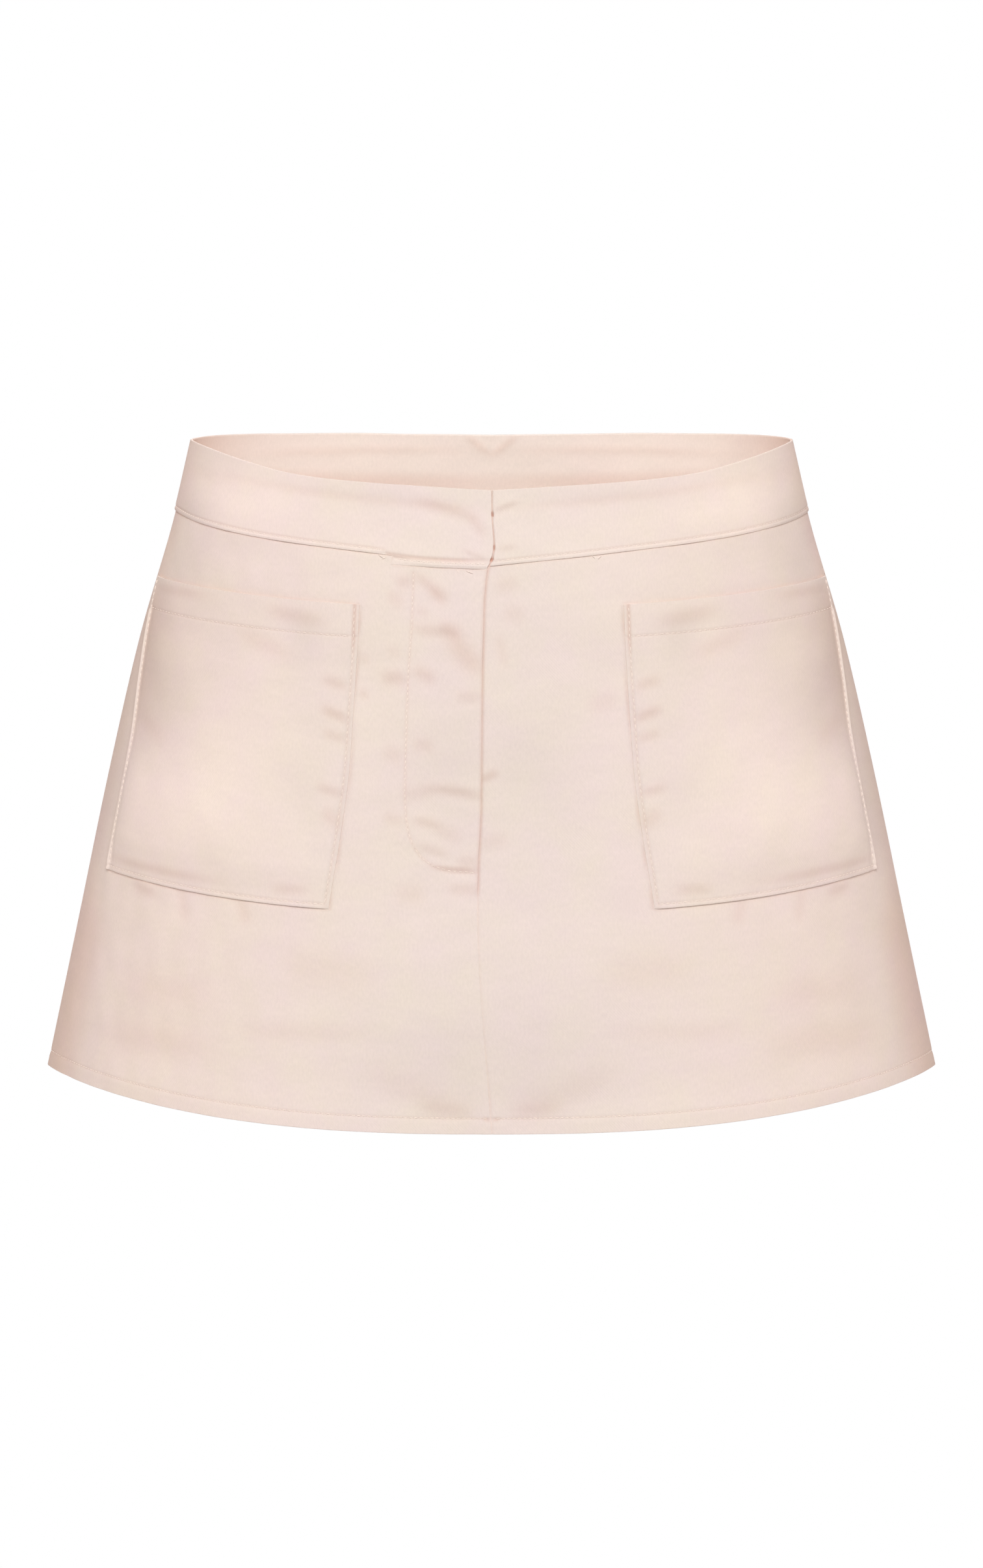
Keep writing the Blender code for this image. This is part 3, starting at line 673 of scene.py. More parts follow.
FOLD_LIFT = 0.45        # how far the folded edge stands over the left panel
UNDERLAP = 5.0
UNDERLAP_SINK = 0.55
FLY_PITCH = 2.8
PATH_STEP = 0.7
FLY_STITCH = ((-38.7, 53.0), (-39.4, 76.6), (-40.8, 96.4), (-42.0, 122.7), (-42.6, 149.0),
              (-42.7, 162.0), (-42.2, 171.0), (-40.7, 179.5), (-38.2, 185.6), (-34.4, 190.6),
              (-29.0, 194.3), (-21.0, 196.6), (-8.3, 197.4))


def mirrored(creases):
    """The same creases on the other side of the centre."""
    return tuple(c._replace(across0=-c.across1, drop0=c.drop1, across1=-c.across0,
                            drop1=c.drop0) for c in creases)


BOTH_CREASES = table(Crease,
    (0.6, 318.2, 4.2, 317.4, 1.1, 0.28, 0, 0, 2.4), (194, 221.4, 213, 221.2, 4.1, 0.38),
    (170, 233, 174, 217, 4.8, 0.34, 0, 0, 0.78), (128.5, 229, 132.5, 217, 4.8, 0.38, 0, 0, 0.91),
    (12, 314, 60, 296, 9.8, 0.46, 0, 1, 0.33), (11, 313.8, 34, 312, 5.1, 0.27),
    (64, 276.5, 132, 281, 6.1, 0.15), (150, 290, 228, 297.5, 11, 0.26, 1),
    (150, 266.5, 216, 272.5, 11, 0.21, 1))
RIGHT_CREASES = mirrored(BOTH_CREASES) + table(Crease,
    (-47.5, 59, -39.5, 56.2, 4.1, 0.32), (-37.5, 54, -23, 66.5, 3.7, 0.4, 0.6),
    (-30, 61, -22, 65.5, 4.6, 0.23), (-52, 63.5, -44, 68.5, 4.6, 0.23),
    (-37.5, 70.5, -31, 73, 3.2, 0.18), (-38.5, 79.7, -18, 80.8, 4.1, 0.36, -0.6),
    (-25, 77.5, -15.5, 83.5, 4.4, 0.33), (-20, 81.5, -5, 100.5, 6.8, 0.5, -1.2),
    (-54.5, 104.8, -42.5, 104.2, 4.6, 0.44, 0.6), (-38.5, 99.5, -28, 105, 4.4, 0.36, 0.5),
    (-17, 112.3, -5, 112.3, 4.1, 0.26), (-52, 91.5, -45, 91.5, 3.9, 0.14),
    (-38.5, 136, -28.5, 137, 4.4, 0.27, 0.5), (-54, 139.5, -44, 142, 5.4, 0.21),
    (-44, 160, -28, 158, 4.9, 0.23), (-31, 156.8, -5, 160.2, 3.4, 0.4, 0.6, 1, 1.2),
    (-54, 171.6, -43, 172.6, 4.1, 0.21), (-38.5, 172.6, -25, 175.2, 3.5, 0.35, 0.4, 1, 1.05),
    (-27, 176, -15, 181, 4.9, 0.2), (-36, 184.8, -21.5, 188.8, 3.4, 0.27, 0, 1, 1.05),
    (-17, 193, -6.5, 192, 4.1, 0.27, 0, 1, 1.2),
    (-29, 194.8, -7.4, 196.1, 1.8, 0.3, -0.4, 1, 2.25), (-21, 205.4, -6, 205.6, 3.9, 0.27),
    (-48, 207.5, -33, 208.5, 6.1, 0.21), (-67, 112, -61, 113, 3.4, 0.26),
    (-67, 95, -61, 96, 3.4, 0.2), (-104, 246, -58, 249, 12.2, 0.18))
LEFT_CREASES = BOTH_CREASES + table(Crease,
    (-5, 152.8, 2.8, 148.4, 2.8, 0.32, 0, 1, 1.8), (2, 59, 13, 57, 5.6, 0.21),
    (6, 71, 16, 73.5, 5.6, 0.2), (3.5, 83, 6.5, 98, 3.3, 0.26, 0, 0, 0.91),
    (48, 118, 62, 114, 6.1, 0.18), (-6, 183, 8, 181, 4.9, 0.18), (56, 249, 100, 246, 12.2, 0.18))
FRONT_CREASES = {-1: RIGHT_CREASES, 1: LEFT_CREASES}

# A patch of painted light round a point of the flat cut, the same on both sides of the
# centre: a painted highlight where its lift is above 0, and painted shade below 0.
LightPatch = namedtuple("LightPatch", "across drop wide tall lift")
FRONT_LIGHT_PATCHES = table(LightPatch,
    (190, 58, 18, 11, -0.048), (140, 58, 24, 12, 0.042), (25, 84, 34, 26, -0.019),
    (18, 144, 26, 24, -0.049), (15, 224, 60, 22, 0.023), (22, 288, 50, 20, -0.046),
    (205, 262, 70, 62, 0.061), (140, 314, 120, 10, 0.023), (168, 230, 32, 12, 0.03),
    (72, 88, 10, 12, -0.035), (165, 74, 16, 10, 0.025), (208, 308, 34, 12, 0.035),
    (20, 306, 18, 10, -0.024), (210, 56, 8, 10, 0.04), (54, 92, 12, 16, -0.026),
    (232, 208, 8, 16, 0.045))
Side = namedtuple("Side", "drop inner outer")
POCKET_SIDES = table(Side,
    (36, 0.31, 0.984), (69.5, 0.302, 0.976), (88, 0.295, 0.96), (120, 0.289, 0.93),
    (150, 0.286, 0.906), (176, 0.291, 0.901), (217.5, 0.305, 0.9), (325, 0.335, 0.884))
POCKET_TOP = 69.5
POCKET_BASE = 217.5

# A grid's runs, laid end to end, each with its spacing and the finer ones near some places.
Run = namedtuple("Run", "length spacing fine")
FRONT_COLUMNS = table(Run, (60.0, 1.05, ((0.0, 0.14), (5.0, 0.45))),
                      (185.0, 1.95, ((185.0, 0.15),)))
FRONT_LEVELS = table(Run, (168.0, 1.18, ((0.0, 0.35), (3.0, 0.3))),
                     (109.0, 1.6, ((2.0, 0.5), (101.6, 0.4), (109.0, 0.15))))


def front_half(drop):
    """Length from the centre front to a side seam."""
    return np.interp(drop, FORM_DROPS, SKIRT_FORM.front_length)


def painted_light_patches(across, drop, light_patches):
    """Sum of patches of painted highlight and shade, each falling off over its width and height.
    """
    return sum(t.lift * near(np.abs(across) - t.across, t.wide) * near(drop - t.drop, t.tall)
               for t in light_patches)


def laid_out(runs):
    """Shares from 0 to 1 along a grid's runs."""
    at, begin = [np.zeros(1)], 0.0
    for run in runs:
        at.append(begin + ticks(*run)[1:])
        begin += run.length
    return np.concatenate(at) / begin


def front_seam(share, right):
    """Drop of the seam between band and skirt on the front, by the size of the share."""
    seam = curve(SEAM_FRONT, 1, share)
    lap = curve(LAP_EDGE, 1, share)
    return np.where(right & (share < (LAP_END + LAP_STEP) / 2), lap, seam)


def front_line(drop):
    return curve(FRONT_LINE, 1, drop)


def from_path(across, drop, path):
    """Distance of each point from a path on the flat cut."""
    nearest = np.full(np.broadcast(across, drop).shape, 1e9)
    for (x0, y0), (x1, y1) in zip(path, path[1:]):
        run, fall = x1 - x0, y1 - y0
        t = np.clip(((across - x0) * run + (drop - y0) * fall) / (run**2 + fall**2), 0, 1)
        nearest = np.minimum(nearest, np.hypot(across - x0 - t * run, drop - y0 - t * fall))
    return nearest


def inside_pocket(share, drop):
    """How far in from a pocket's inner and outer sides; the share is positive."""
    half = front_half(drop)
    return ((share - curve(POCKET_SIDES, 1, drop)) * half,
            (curve(POCKET_SIDES, 2, drop) - share) * half)


def under_pocket(share, drop):
    """1 where a pocket covers the panel, falling to 0 just outside its edges."""
    from_inner, to_outer = inside_pocket(share, drop)
    return (step(from_inner, -4.0, 1.0) * step(to_outer, -5.0, 1.0)
            * step(drop, POCKET_TOP - 8, POCKET_TOP)
            * (1 - step(drop, POCKET_BASE - 1.5, POCKET_BASE + 2)))


def at_fly(across, drop, side):
    """Distance from the line where the fronts meet, and 1 where they're sewn there."""
    return (across - front_line(drop)) * side, step(drop, FLY_BASE - 2, FLY_BASE + 5)


def front_relief(across, drop, side):
    """How far a front panel's outer skin stands off its form, before its edges."""
    share = np.abs(across) / front_half(drop)
    to_side = (1 - share) * front_half(drop)
    relief = (creased(across, drop, FRONT_CREASES[side])
              + uneven(across, drop, 5 if side < 0 else 6, 0.05))
    relief = relief * step(to_side, 3.0, 24.0) * (1 - 0.9 * under_pocket(share, drop))
    seam = front_seam(share, side < 0)
    relief = relief + hem_relief(drop) - SEAM_SINK * (1 - step(drop - seam, -0.9, 0.2))
    from_line, sewn_below = at_fly(across, drop, side)
    allowance = 0.12 * step(drop, HEM_STITCH - 14, HEM_STITCH)
    relief = relief + allowance * near(from_line - 3.2, 1.2)
    if side < 0:
        relief = relief + stitched(from_path(across, drop, FLY_STITCH), 0.26, 1.0)
        fold = FOLD_LIFT * (1 - sewn_below) * (1 - step(from_line, 1.0, 7.0))
        return relief + fold
    sink = UNDERLAP_SINK - 0.18 * sewn_below
    return relief - sink * (1 - step(from_line, -0.5, 1.6))


def front_painted_shade(across, drop, side):
    """How much painted shade darkens a front panel in its creases, close along other edges, and
    towards its side seam.
    """
    half = front_half(drop)
    share = np.abs(across) / half
    warm = crease_shade(across, drop, FRONT_CREASES[side])
    warm = warm * (1 - under_pocket(share, drop)) + 0.22 * near(drop - HEM_STITCH, 0.6)
    warm = warm + 0.25 * near(drop - front_seam(share, side < 0) - 0.3, 0.6)
    from_inner, to_outer = inside_pocket(share, drop)
    low = step(drop, 215.0, 255.0)
    warm = warm + (0.5 + 0.4 * low) * step(share, 0.90 - 0.07 * low, 0.99 - 0.03 * low)
    beside = step(drop, POCKET_TOP - 0.5, POCKET_TOP + 0.5) * (1 - step(drop, POCKET_BASE,
                                                                        POCKET_BASE + 1))
    warm = warm + beside * (0.3 * near(to_outer, 4.0) + 0.6 * near(from_inner + 0.2, 0.6))
    between = step(from_inner, -0.5, 0.5) * step(to_outer, -0.5, 0.5)
    warm = warm + between * (0.4 * near(drop - POCKET_BASE - 0.3, 0.7)
                             + 0.3 * near(drop - POCKET_TOP + 0.4, 0.7))
    from_line, sewn_below = at_fly(across, drop, side)
    if side < 0:
        path = from_path(across, drop, FLY_STITCH)
        return warm + 0.35 * near(path, 0.8) + 0.60 * near(from_line, 0.9) * (1 - sewn_below)
    return warm + (0.90 - 0.75 * sewn_below) * near(from_line - 0.2, 0.9)


def side_shade(share, drop):
    """How much darker a front is close to its side seam, most of all beside the pocket."""
    beside = step(drop, 66.0, 92.0) * (1 - step(drop, 196.0, 236.0))
    share = np.abs(share)
    low = 0.045 * step(drop, 205.0, 245.0) * step(share, 0.93, 0.99)
    return low + 0.07 * beside * step(share, 0.86, 0.94)


def front_panel(name, side):
    """Lay out one front panel: side is -1 for the wearer's right, 1 for the left."""
    columns = laid_out(FRONT_COLUMNS)
    start = 0.0 if side < 0 else -UNDERLAP
    top = front_seam(columns, side < 0) - SEAM_TUCK
    drops = top + (HEM_DROP - top) * laid_out(FRONT_LEVELS)[:, None]
    width = front_half(drops) - side * front_line(drops) - start
    across = front_line(drops) + side * (start + width * columns)
    shares = across / front_half(drops)
    if side < 0:
        across, drops, shares = across[:, ::-1], drops[:, ::-1], shares[:, ::-1]
    roll_line = 0.44 - 0.30 * step(drops, FLY_BASE - 2, FLY_BASE + 5)
    edges = (0.3, roll_line, 0.0, 0.4) if side < 0 else (0.2, 0.3, 0.0, 0.4)
    # Painted light on a front: patches of painted highlight and shade, and painted shade towards
    # the side seam.
    return panel(name, shares, drops, front_relief(across, drops, side), edges,
                 hem_wall(drops), across, TWILL, TWILL_INSIDE, front_painted_shade(across, drops, side),
                 lift=painted_light_patches(across, drops, FRONT_LIGHT_PATCHES) - side_shade(shares, drops))


def along_path(path):
    """Even points along a path on the flat cut."""
    path = np.array(path)
    run = run_along(path)
    at = np.arange(0.0, run[-1] + PATH_STEP / 2, PATH_STEP)
    return np.interp(at, run, path[:, 0]), np.interp(at, run, path[:, 1])


for side, label in SIDES:
    cloth = front_panel("skirt_front_" + label + "_cloth", side)
    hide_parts("skirt_front_" + label)
    row = np.linspace(2.0, front_half(HEM_STITCH) - 1.0, 500) * side
    level = np.full(row.shape, HEM_STITCH)
    threads = [sewn("hem_stitches_" + label, row / front_half(level), level,
                    front_relief(row, level, side), HEM_PITCH)]
    if side < 0:
        across, drop = along_path(FLY_STITCH)
        threads.append(sewn("fly_stitches", across / front_half(drop), drop,
                            front_relief(across, drop, side), FLY_PITCH))

# ------------ patch pockets
# Two large patch pockets of the same twill lie on the fronts. Each has a turned and stitched
# top, and is edge-stitched down both sides and along its base; it stands a little full.

POCKET_HEM = 85.0
POCKET_STAND = 1.30     # outer skin over the panel at the sewn edges
POCKET_FULLNESS = 2.6
POCKET_MOUTH_EASE = 0.8
POCKET_EDGE_STITCH = 2.3
POCKET_PITCH = 3.2
POCKET_WALL = 0.75
POCKET_GAP = 0.12       # between the turned-in edges and the panel that they're sewn to
POCKET_WIDTH = 151.0    # about halfway down, for laying out its grid
POCKET_HEIGHT = POCKET_BASE - POCKET_TOP
POCKET_CREASES = table(Crease,
    (72, 109.6, 85, 107.2, 3.6, 0.34, 0.6), (71.5, 125, 85, 121.4, 3.6, 0.48, 0.4),
    (72, 134.6, 84, 132.4, 3.4, 0.3), (74, 161, 87, 158.6, 3.4, 0.34), (74, 177, 84, 170, 5, 0.32),
    (86, 78.5, 118, 76, 4.8, 0.34), (162, 73, 214, 74.5, 3.7, 0.34),
    (150, 210, 237, 210.8, 3.2, 0.28, 0, 1, 1.5), (93, 208.6, 112, 210.2, 3.7, 0.27, 0, 1, 1.2),
    (104, 96, 138, 88, 6, 0.24), (188, 146, 212, 138, 7, 0.2))
# Painted highlights and shade on the pockets.
POCKET_LIGHT_PATCHES = table(LightPatch,
    (211, 106, 20, 38, -0.125), (188, 175, 38, 28, 0.115), (142, 164, 32, 46, 0.087),
    (96, 88, 14, 16, -0.065), (84, 122, 14, 20, -0.03), (205, 204, 30, 12, 0.038),
    (198, 100, 14, 10, 0.038), (208, 172, 9, 14, 0.045), (210, 214, 10, 6, -0.028),
    (112, 94, 12, 8, 0.036), (102, 190, 18, 16, 0.024), (148, 194, 24, 10, -0.032),
    (98, 80, 18, 7, -0.03), (92, 162, 12, 14, -0.026), (72, 92, 8, 16, -0.034),
    (70, 145, 5, 50, -0.016), (188, 128, 14, 18, -0.026), (168, 100, 14, 9, 0.034))


def pocket_relief(share, drop):
    """How far a pocket's outer skin stands off the skirt's form; shares are positive."""
    from_inner, to_outer = inside_pocket(share, drop)
    to_base = POCKET_BASE - drop
    sag = step(drop, 78.0, 150.0) * (1 - step(drop, 197.0, 214.5))
    reach = 34.0 - 28.0 * step(drop, 122.0, 172.0)
    rise = (1 - np.exp(-np.maximum(to_outer, 0) / reach)) * (
        1 - np.exp(-np.maximum(from_inner, 0) / 20.0))
    mouth = POCKET_MOUTH_EASE * (1 - step(drop, POCKET_TOP, 115.0))
    belly = np.sin(math.pi * np.clip(from_inner / (from_inner + to_outer), 0, 1))
    relief = POCKET_STAND + POCKET_FULLNESS * sag * rise + mouth * belly
    relief -= 0.66 * near(from_inner, 1.9) + 0.10 * near(from_inner, 4.0)
    relief -= 0.40 * near(to_base, 1.7)
    across = share * front_half(drop)
    inside = (step(from_inner, 1.0, 4.5) * step(to_outer, 1.5, 9.0) * step(to_base, 1.0, 3.5))
    relief += inside * (creased(across, drop, POCKET_CREASES) + uneven(across, drop, 8))
    edge = np.minimum(from_inner, to_base)
    relief += stitched(edge - POCKET_EDGE_STITCH, 0.34, 0.85)
    below_hem = step(drop, POCKET_HEM - 3, POCKET_HEM + 3)
    relief += 0.55 * near(to_outer - 0.3, 1.5) * below_hem
    relief -= 0.30 * near(to_outer - 4.0, 1.8) * below_hem
    relief += 0.14 * near(to_base - 1.1, 0.9)
    relief += 0.20 * (1 - step(drop, POCKET_HEM - 0.6, POCKET_HEM + 0.8))
    return relief + stitched(drop - POCKET_HEM, 0.28, 0.75)


# Painted shade on a pocket: in its creases, along its rows of stitches and its inner edge, and
# over its upper outer part.
def pocket_painted_shade(share, drop):
    from_inner, to_outer = inside_pocket(share, drop)
    to_base = POCKET_BASE - drop
    rows = np.minimum(np.minimum(from_inner, to_base), np.abs(drop - POCKET_HEM)
                      + POCKET_EDGE_STITCH)
    warm = crease_shade(share * front_half(drop), drop, POCKET_CREASES)
    warm += 0.2 * near(rows - POCKET_EDGE_STITCH, 0.7)
    high = 1 - step(drop, POCKET_HEM, POCKET_HEM + 12)
    warm += (0.12 + 0.83 * high) * near(from_inner - POCKET_EDGE_STITCH, 0.9)
    warm += (0.10 + 0.15 * high) * near(from_inner - 1.0, 1.2)
    high = step(drop, 70.0, 82.0) * (1 - step(drop, 118.0, 168.0))
    warm = warm + 0.80 * high * np.exp(-np.maximum(to_outer - 4, 0) / 20.0)
    warm = warm * step(to_outer, 1.5, 3.5)
    return warm + 0.10 * near(drop - POCKET_HEM - 8, 5.0) * near(to_outer, 30.0)


# Painted light on a pocket: patches of painted highlight and shade, and a painted highlight along
# the lip of its outer edge.
def pocket_painted_light(share, drop):
    to_outer = inside_pocket(share, drop)[1]
    below_hem = step(drop, POCKET_HEM - 3, POCKET_HEM + 3)
    return (painted_light_patches(share * front_half(drop), drop, POCKET_LIGHT_PATCHES) * step(to_outer, 1.5, 4.0)
            + 0.10 * below_hem * near(to_outer - 1.2, 1.1))


for side, label in SIDES:
    columns = ticks(POCKET_WIDTH, 1.45, (
        (0.0, 0.16), (POCKET_EDGE_STITCH, 0.5), (POCKET_WIDTH - POCKET_EDGE_STITCH, 0.5),
        (POCKET_WIDTH, 0.16))) / POCKET_WIDTH
    levels = POCKET_TOP + ticks(POCKET_HEIGHT, 1.45, (
        (0.0, 0.16), (POCKET_HEM - POCKET_TOP, 0.5), (POCKET_HEIGHT - POCKET_EDGE_STITCH, 0.5),
        (POCKET_HEIGHT, 0.16)))
    drops = np.broadcast_to(levels[:, None], (len(levels), len(columns)))
    inner = curve(POCKET_SIDES, 1, drops)
    outer = curve(POCKET_SIDES, 2, drops)
    shares = inner + (outer - inner) * columns
    relief = pocket_relief(shares, drops)
    from_edge = np.minimum(np.minimum(*inside_pocket(shares, drops)), POCKET_BASE - drops)
    turned_in = np.maximum(relief - POCKET_WALL - POCKET_GAP, 0) * (1 - step(from_edge, 4.0, 9.0))
    wall = POCKET_WALL + turned_in
    edges = (0.30, 0.37, 0.37, 0.37)
    if side < 0:
        shares, relief, wall = -shares[:, ::-1], relief[:, ::-1], wall[:, ::-1]
        edges = (0.37, 0.30, 0.37, 0.37)
    patch = panel("pocket_" + label + "_cloth", shares, drops, relief, edges, wall,
                  shares * front_half(drops), TWILL, TWILL_INSIDE,
                  pocket_painted_shade(np.abs(shares), drops), lift=pocket_painted_light(np.abs(shares), drops))
    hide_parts("pocket_" + label)
    sides = []
    for column, inward in ((1, 1), (2, -1)):
        drop = np.arange(POCKET_TOP + 1.2, POCKET_BASE - POCKET_EDGE_STITCH, PATH_STEP)
        share = curve(POCKET_SIDES, column, drop) + inward * POCKET_EDGE_STITCH / front_half(drop)
        sides.append((share, drop))
    for drop in (POCKET_HEM, POCKET_BASE - POCKET_EDGE_STITCH):
        half = front_half(drop)
        share = np.linspace(curve(POCKET_SIDES, 1, drop) + POCKET_EDGE_STITCH / half,
                            curve(POCKET_SIDES, 2, drop) - POCKET_EDGE_STITCH / half, 220)
        sides.append((share, np.full(share.shape, drop)))
    threads = [sewn(f"pocket_stitches_{label}_{row}", side * share, drop,
                    pocket_relief(share, drop), POCKET_PITCH)
               for row, (share, drop) in zip(("inner", "outer", "hem", "base"), sides)]

# ------------ inner shorts
# Plain lightweight cotton shorts hang from the same waist seam. Each leg has a front and a
# back, joined at the sides, the inner legs and the middle, with a narrow stitched hem.

SHORTS = table(Section,
    (63, 162.6, 107.6, 113.2, 2.08, 0.75, 2.02, 0.66),
    (100, 166.5, 110, 118, 2.08, 0.73, 2.02, 0.66),
    (150, 171, 107, 120, 2.04, 0.68, 2.02, 0.64),
    (190, 173.5, 101, 115, 2, 0.61, 2, 0.6),
    (216, 174.5, 96, 107, 2, 0.55, 2, 0.55),
    (301, 176, 93, 98, 2, 0.5, 2, 0.5))
SHORTS_TUCK = 2.4
SHORTS_TOP_GAP = 0.3    # between the waist seam and the upper edges
SHORTS_LEAVE_DROP = 52.0
SHORTS_WALL = 0.6
SHORTS_HEM_DROP = 301.0
SHORTS_HEM_STITCH = 291.0
CROTCH_DROP = 216.0
PARTING_POWER = 3.4
LEG_GAP = 7.0
INNER_LEG_SPREAD = 16.0
SHORTS_FINISH = twill("shorts_cotton", (0.842, 0.705, 0.620), (0.846, 0.690, 0.618), 0.8)


def tucked(drop):
    s = read_level(SKIRT, drop)
    return s._replace(half_width=s.half_width - SHORTS_TUCK, front=s.front - SHORTS_TUCK,
                      back=s.back - SHORTS_TUCK)


def shorts_level(drop):
    """A leg's section at a drop, with the middle and half width of its ring."""
    if drop < SHORTS_LEAVE_DROP:
        s = tucked(drop)
    else:
        s = read_level((tucked(SHORTS_LEAVE_DROP),) + SHORTS, drop)
    if drop < CROTCH_DROP:
        parting = (drop / CROTCH_DROP) ** PARTING_POWER
        inner = -s.half_width * (1 - parting) / (1 + parting)
    else:
        below = (drop - CROTCH_DROP) / (SHORTS_HEM_DROP - CROTCH_DROP)
        inner = (LEG_GAP * min(1.0, 4 * below) + INNER_LEG_SPREAD * below) / 2
    return s, (s.half_width + inner) / 2, (s.half_width - inner) / 2


SHORTS_FORM = make_form(shorts_level, closed=False)

for side, label in SIDES:
    for back in (False, True):
        columns = ticks(1.0, 0.024, ((0.0, 0.003), (1.0, 0.003)))
        levels = ticks(1.0, 0.018, ((0.0, 0.004), (0.66, 0.008), (1.0, 0.002)))
        columns = 2 - columns if back else columns
        top = SHORTS_TOP_GAP + (back_seam(columns) if back else front_seam(columns, side < 0))
        drops = top + (SHORTS_HEM_DROP - top) * levels[:, None]
        shares = side * np.broadcast_to(columns, drops.shape)
        points, outward = place_on(SHORTS_FORM, shares, drops)
        across = run_along(points, 1)
        edge = np.minimum(across, across[:, -1:] - across)
        lift = uneven(across, drops, 21 + back) * step(edge, 2.0, 20.0)
        lift += stitched(drops - SHORTS_HEM_STITCH, 0.2)
        roll = np.maximum(rolled(edge, 0.28), rolled(SHORTS_HEM_DROP - drops, 0.28))
        outer = points + outward * (lift - roll)[..., None]
        inner = points + outward * (lift - SHORTS_WALL + roll)[..., None]
        cut = np.stack((across, -drops), axis=-1)
        if (side < 0) != back:
            outer, inner, cut = outer[:, ::-1], inner[:, ::-1], cut[:, ::-1]
        name = ("shorts_back_" if back else "shorts_front_") + label
        leg = shell(name + "_cloth", outer, inner, cut, SHORTS_FINISH, SHORTS_FINISH)
        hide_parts(name)

# ------------ waistband
# A shaped band of two twill layers round a stiffener, folded along its upper edge and
# edge-stitched over the skirt. The right end laps deeper over the fly; hooks pull it closed.

WAIST_FRONT = table(Edge,
    (0, 13.1), (0.16, 11.6), (0.33, 10.7), (0.45, 10), (0.55, 8.9), (0.67, 6.3), (0.8, 3.3),
    (0.89, 1.5), (1, 0))
WAIST_BACK = table(Edge,
    (0, 9.9), (0.21, 8.8), (0.35, 7.3), (0.55, 5.2), (0.67, 3.6), (0.77, 2.3), (0.88, 1.1), (1, 0))
BAND_PROUD = 0.9
BAND_WALL = 1.3
BAND_STITCH = 2.2       # above the band's lower edge
BAND_PITCH = 2.4
BAND_HALF = 236.0       # about its length from the centre front to a side seam
BAND_UNDERLAP = 9.0
UNDERLAP_WALL = 0.7
BAND_FOOT = 0.9         # rows this close to the plain edge stretch to the lap's deeper edge
Gap = namedtuple("Gap", "drop width")
CLOSURE = table(Gap,
    (0, 0.16), (22.8, 0.16), (24.5, 0.9), (26.2, 0.2), (38.4, 0.24), (40, 0.7), (41.8, 0.4),
    (44.2, 0.36), (46.2, 1.2), (48, 0.36), (50.5, 0.7), (53, 0.5))
CLOSURE_PITS = (24.5, 40.4, 46.2, 51.0)
LAP_ACROSS = 49.0
LAP_RISE = 16.0         # length over which the lap's lower strip lifts off the skirt
Groove = namedtuple("Groove", "across drop")
LAP_GROOVE = table(Groove,
    (0, 47.2), (15, 47.1), (30, 46.7), (40, 46.1), (49, 45.3), (53, 44.9))
BAND_RIGHT_CREASES = table(Crease,
    (-37, 19, -9, 26, 3.8, 0.42, 0.8), (-11, 25, -3.6, 35, 3.4, 0.3, 0.5),
    (-14, 42, -3, 46, 2, 0.22), (-140, 14.8, -14, 21.5, 2.8, 0.3, 0, 0, 0.8),
    (-205, 15.5, -130, 15.8, 5, 0.3, 0, 0, 0.35), (-205, 28, -26, 34.5, 6, -0.36, 0, 0))
BAND_LEFT_CREASES = table(Crease,
    (1.5, 23, 13, 18.6, 1.9, 0.42, 0, 1, 0.7), (3, 41.5, 12, 40, 2.4, 0.22),
    (8, 21.5, 140, 14.8, 2.8, 0.3, 0, 0, 0.8), (130, 15.8, 205, 15.5, 5, 0.3, 0, 0, 0.35),
    (16, 34.5, 205, 28, 6, -0.36, 0, 0))
BAND_CREASES = {-1: BAND_RIGHT_CREASES, 1: BAND_LEFT_CREASES}
BACK_DIPS = table(Crease,
    (1, 20, 13, 10, 2.4, 0.45, 0, 0), (17, 17.5, 125, 14, 3, 0.35, 0, 0, 0.9))
BAND_BACK_CREASES = BACK_DIPS + mirrored(BACK_DIPS)
# Painted highlights and shade on the band.
BAND_LIGHT_PATCHES = table(LightPatch,
    (142, 25, 44, 20, 0.133), (188, 40, 22, 13, -0.12), (58, 17, 46, 5, -0.045),
    (60, 41, 64, 9, 0.027), (132, 46, 14, 5, 0.03), (180, 43, 18, 8, -0.04))

# Short ends of thread that stand out at the band's seam; turn is measured toward the hem.
End = namedtuple("End", "across drop turn length lift")
LOOSE_ENDS = table(End,
    (-56.5, 45.2, 0.5, 2.6, 0.4), (-52.6, 46.2, 2.7, 2, 0.3), (-17, 51, 1.2, 1.6, 0.3),
    (-12.5, 51.8, 0.3, 3.6, 0.2), (13, 48.6, 1.7, 1.8, 0.3), (49.8, 45, 0.8, 2.2, 0.4),
    (55, 45.6, 2.5, 2.4, 0.3))


def loose_ends(name, side):
    rows = [end for end in LOOSE_ENDS if end.across * side > 0]
    across, drop, turn, length, lift = (np.array(column) for column in zip(*rows))
    starts, outward = place_on(SKIRT_FORM, across / front_half(drop), drop)
    tip, low = across + length * np.cos(turn), drop + length * np.sin(turn)
    ends, _ = place_on(SKIRT_FORM, tip / front_half(low), low)
    starts, ends = starts + outward * lift[:, None], ends + outward * (lift + 0.3)[:, None]
    piece = bars(name, starts, ends, outward, 0.27, 0.12, (THREAD_FINISH,))
    return piece


def edge_stitch(above, run):
    """The trench of the edge stitching, the lip below it, and its scallops."""
    relief = stitched(above - BAND_STITCH, 0.34, 0.62) - 0.32 * near(above, 1.2)
    return relief + near(above - 0.9, 0.9) * (0.16 + 0.08 * np.cos(run * 2 * math.pi
                                                                   / BAND_PITCH))


def lap_part(across):
    """How far the lap's lower strip has lifted, from its tapered left end to 1."""
    return step(LAP_ACROSS + 0.8 - np.abs(across), 0.0, LAP_RISE)


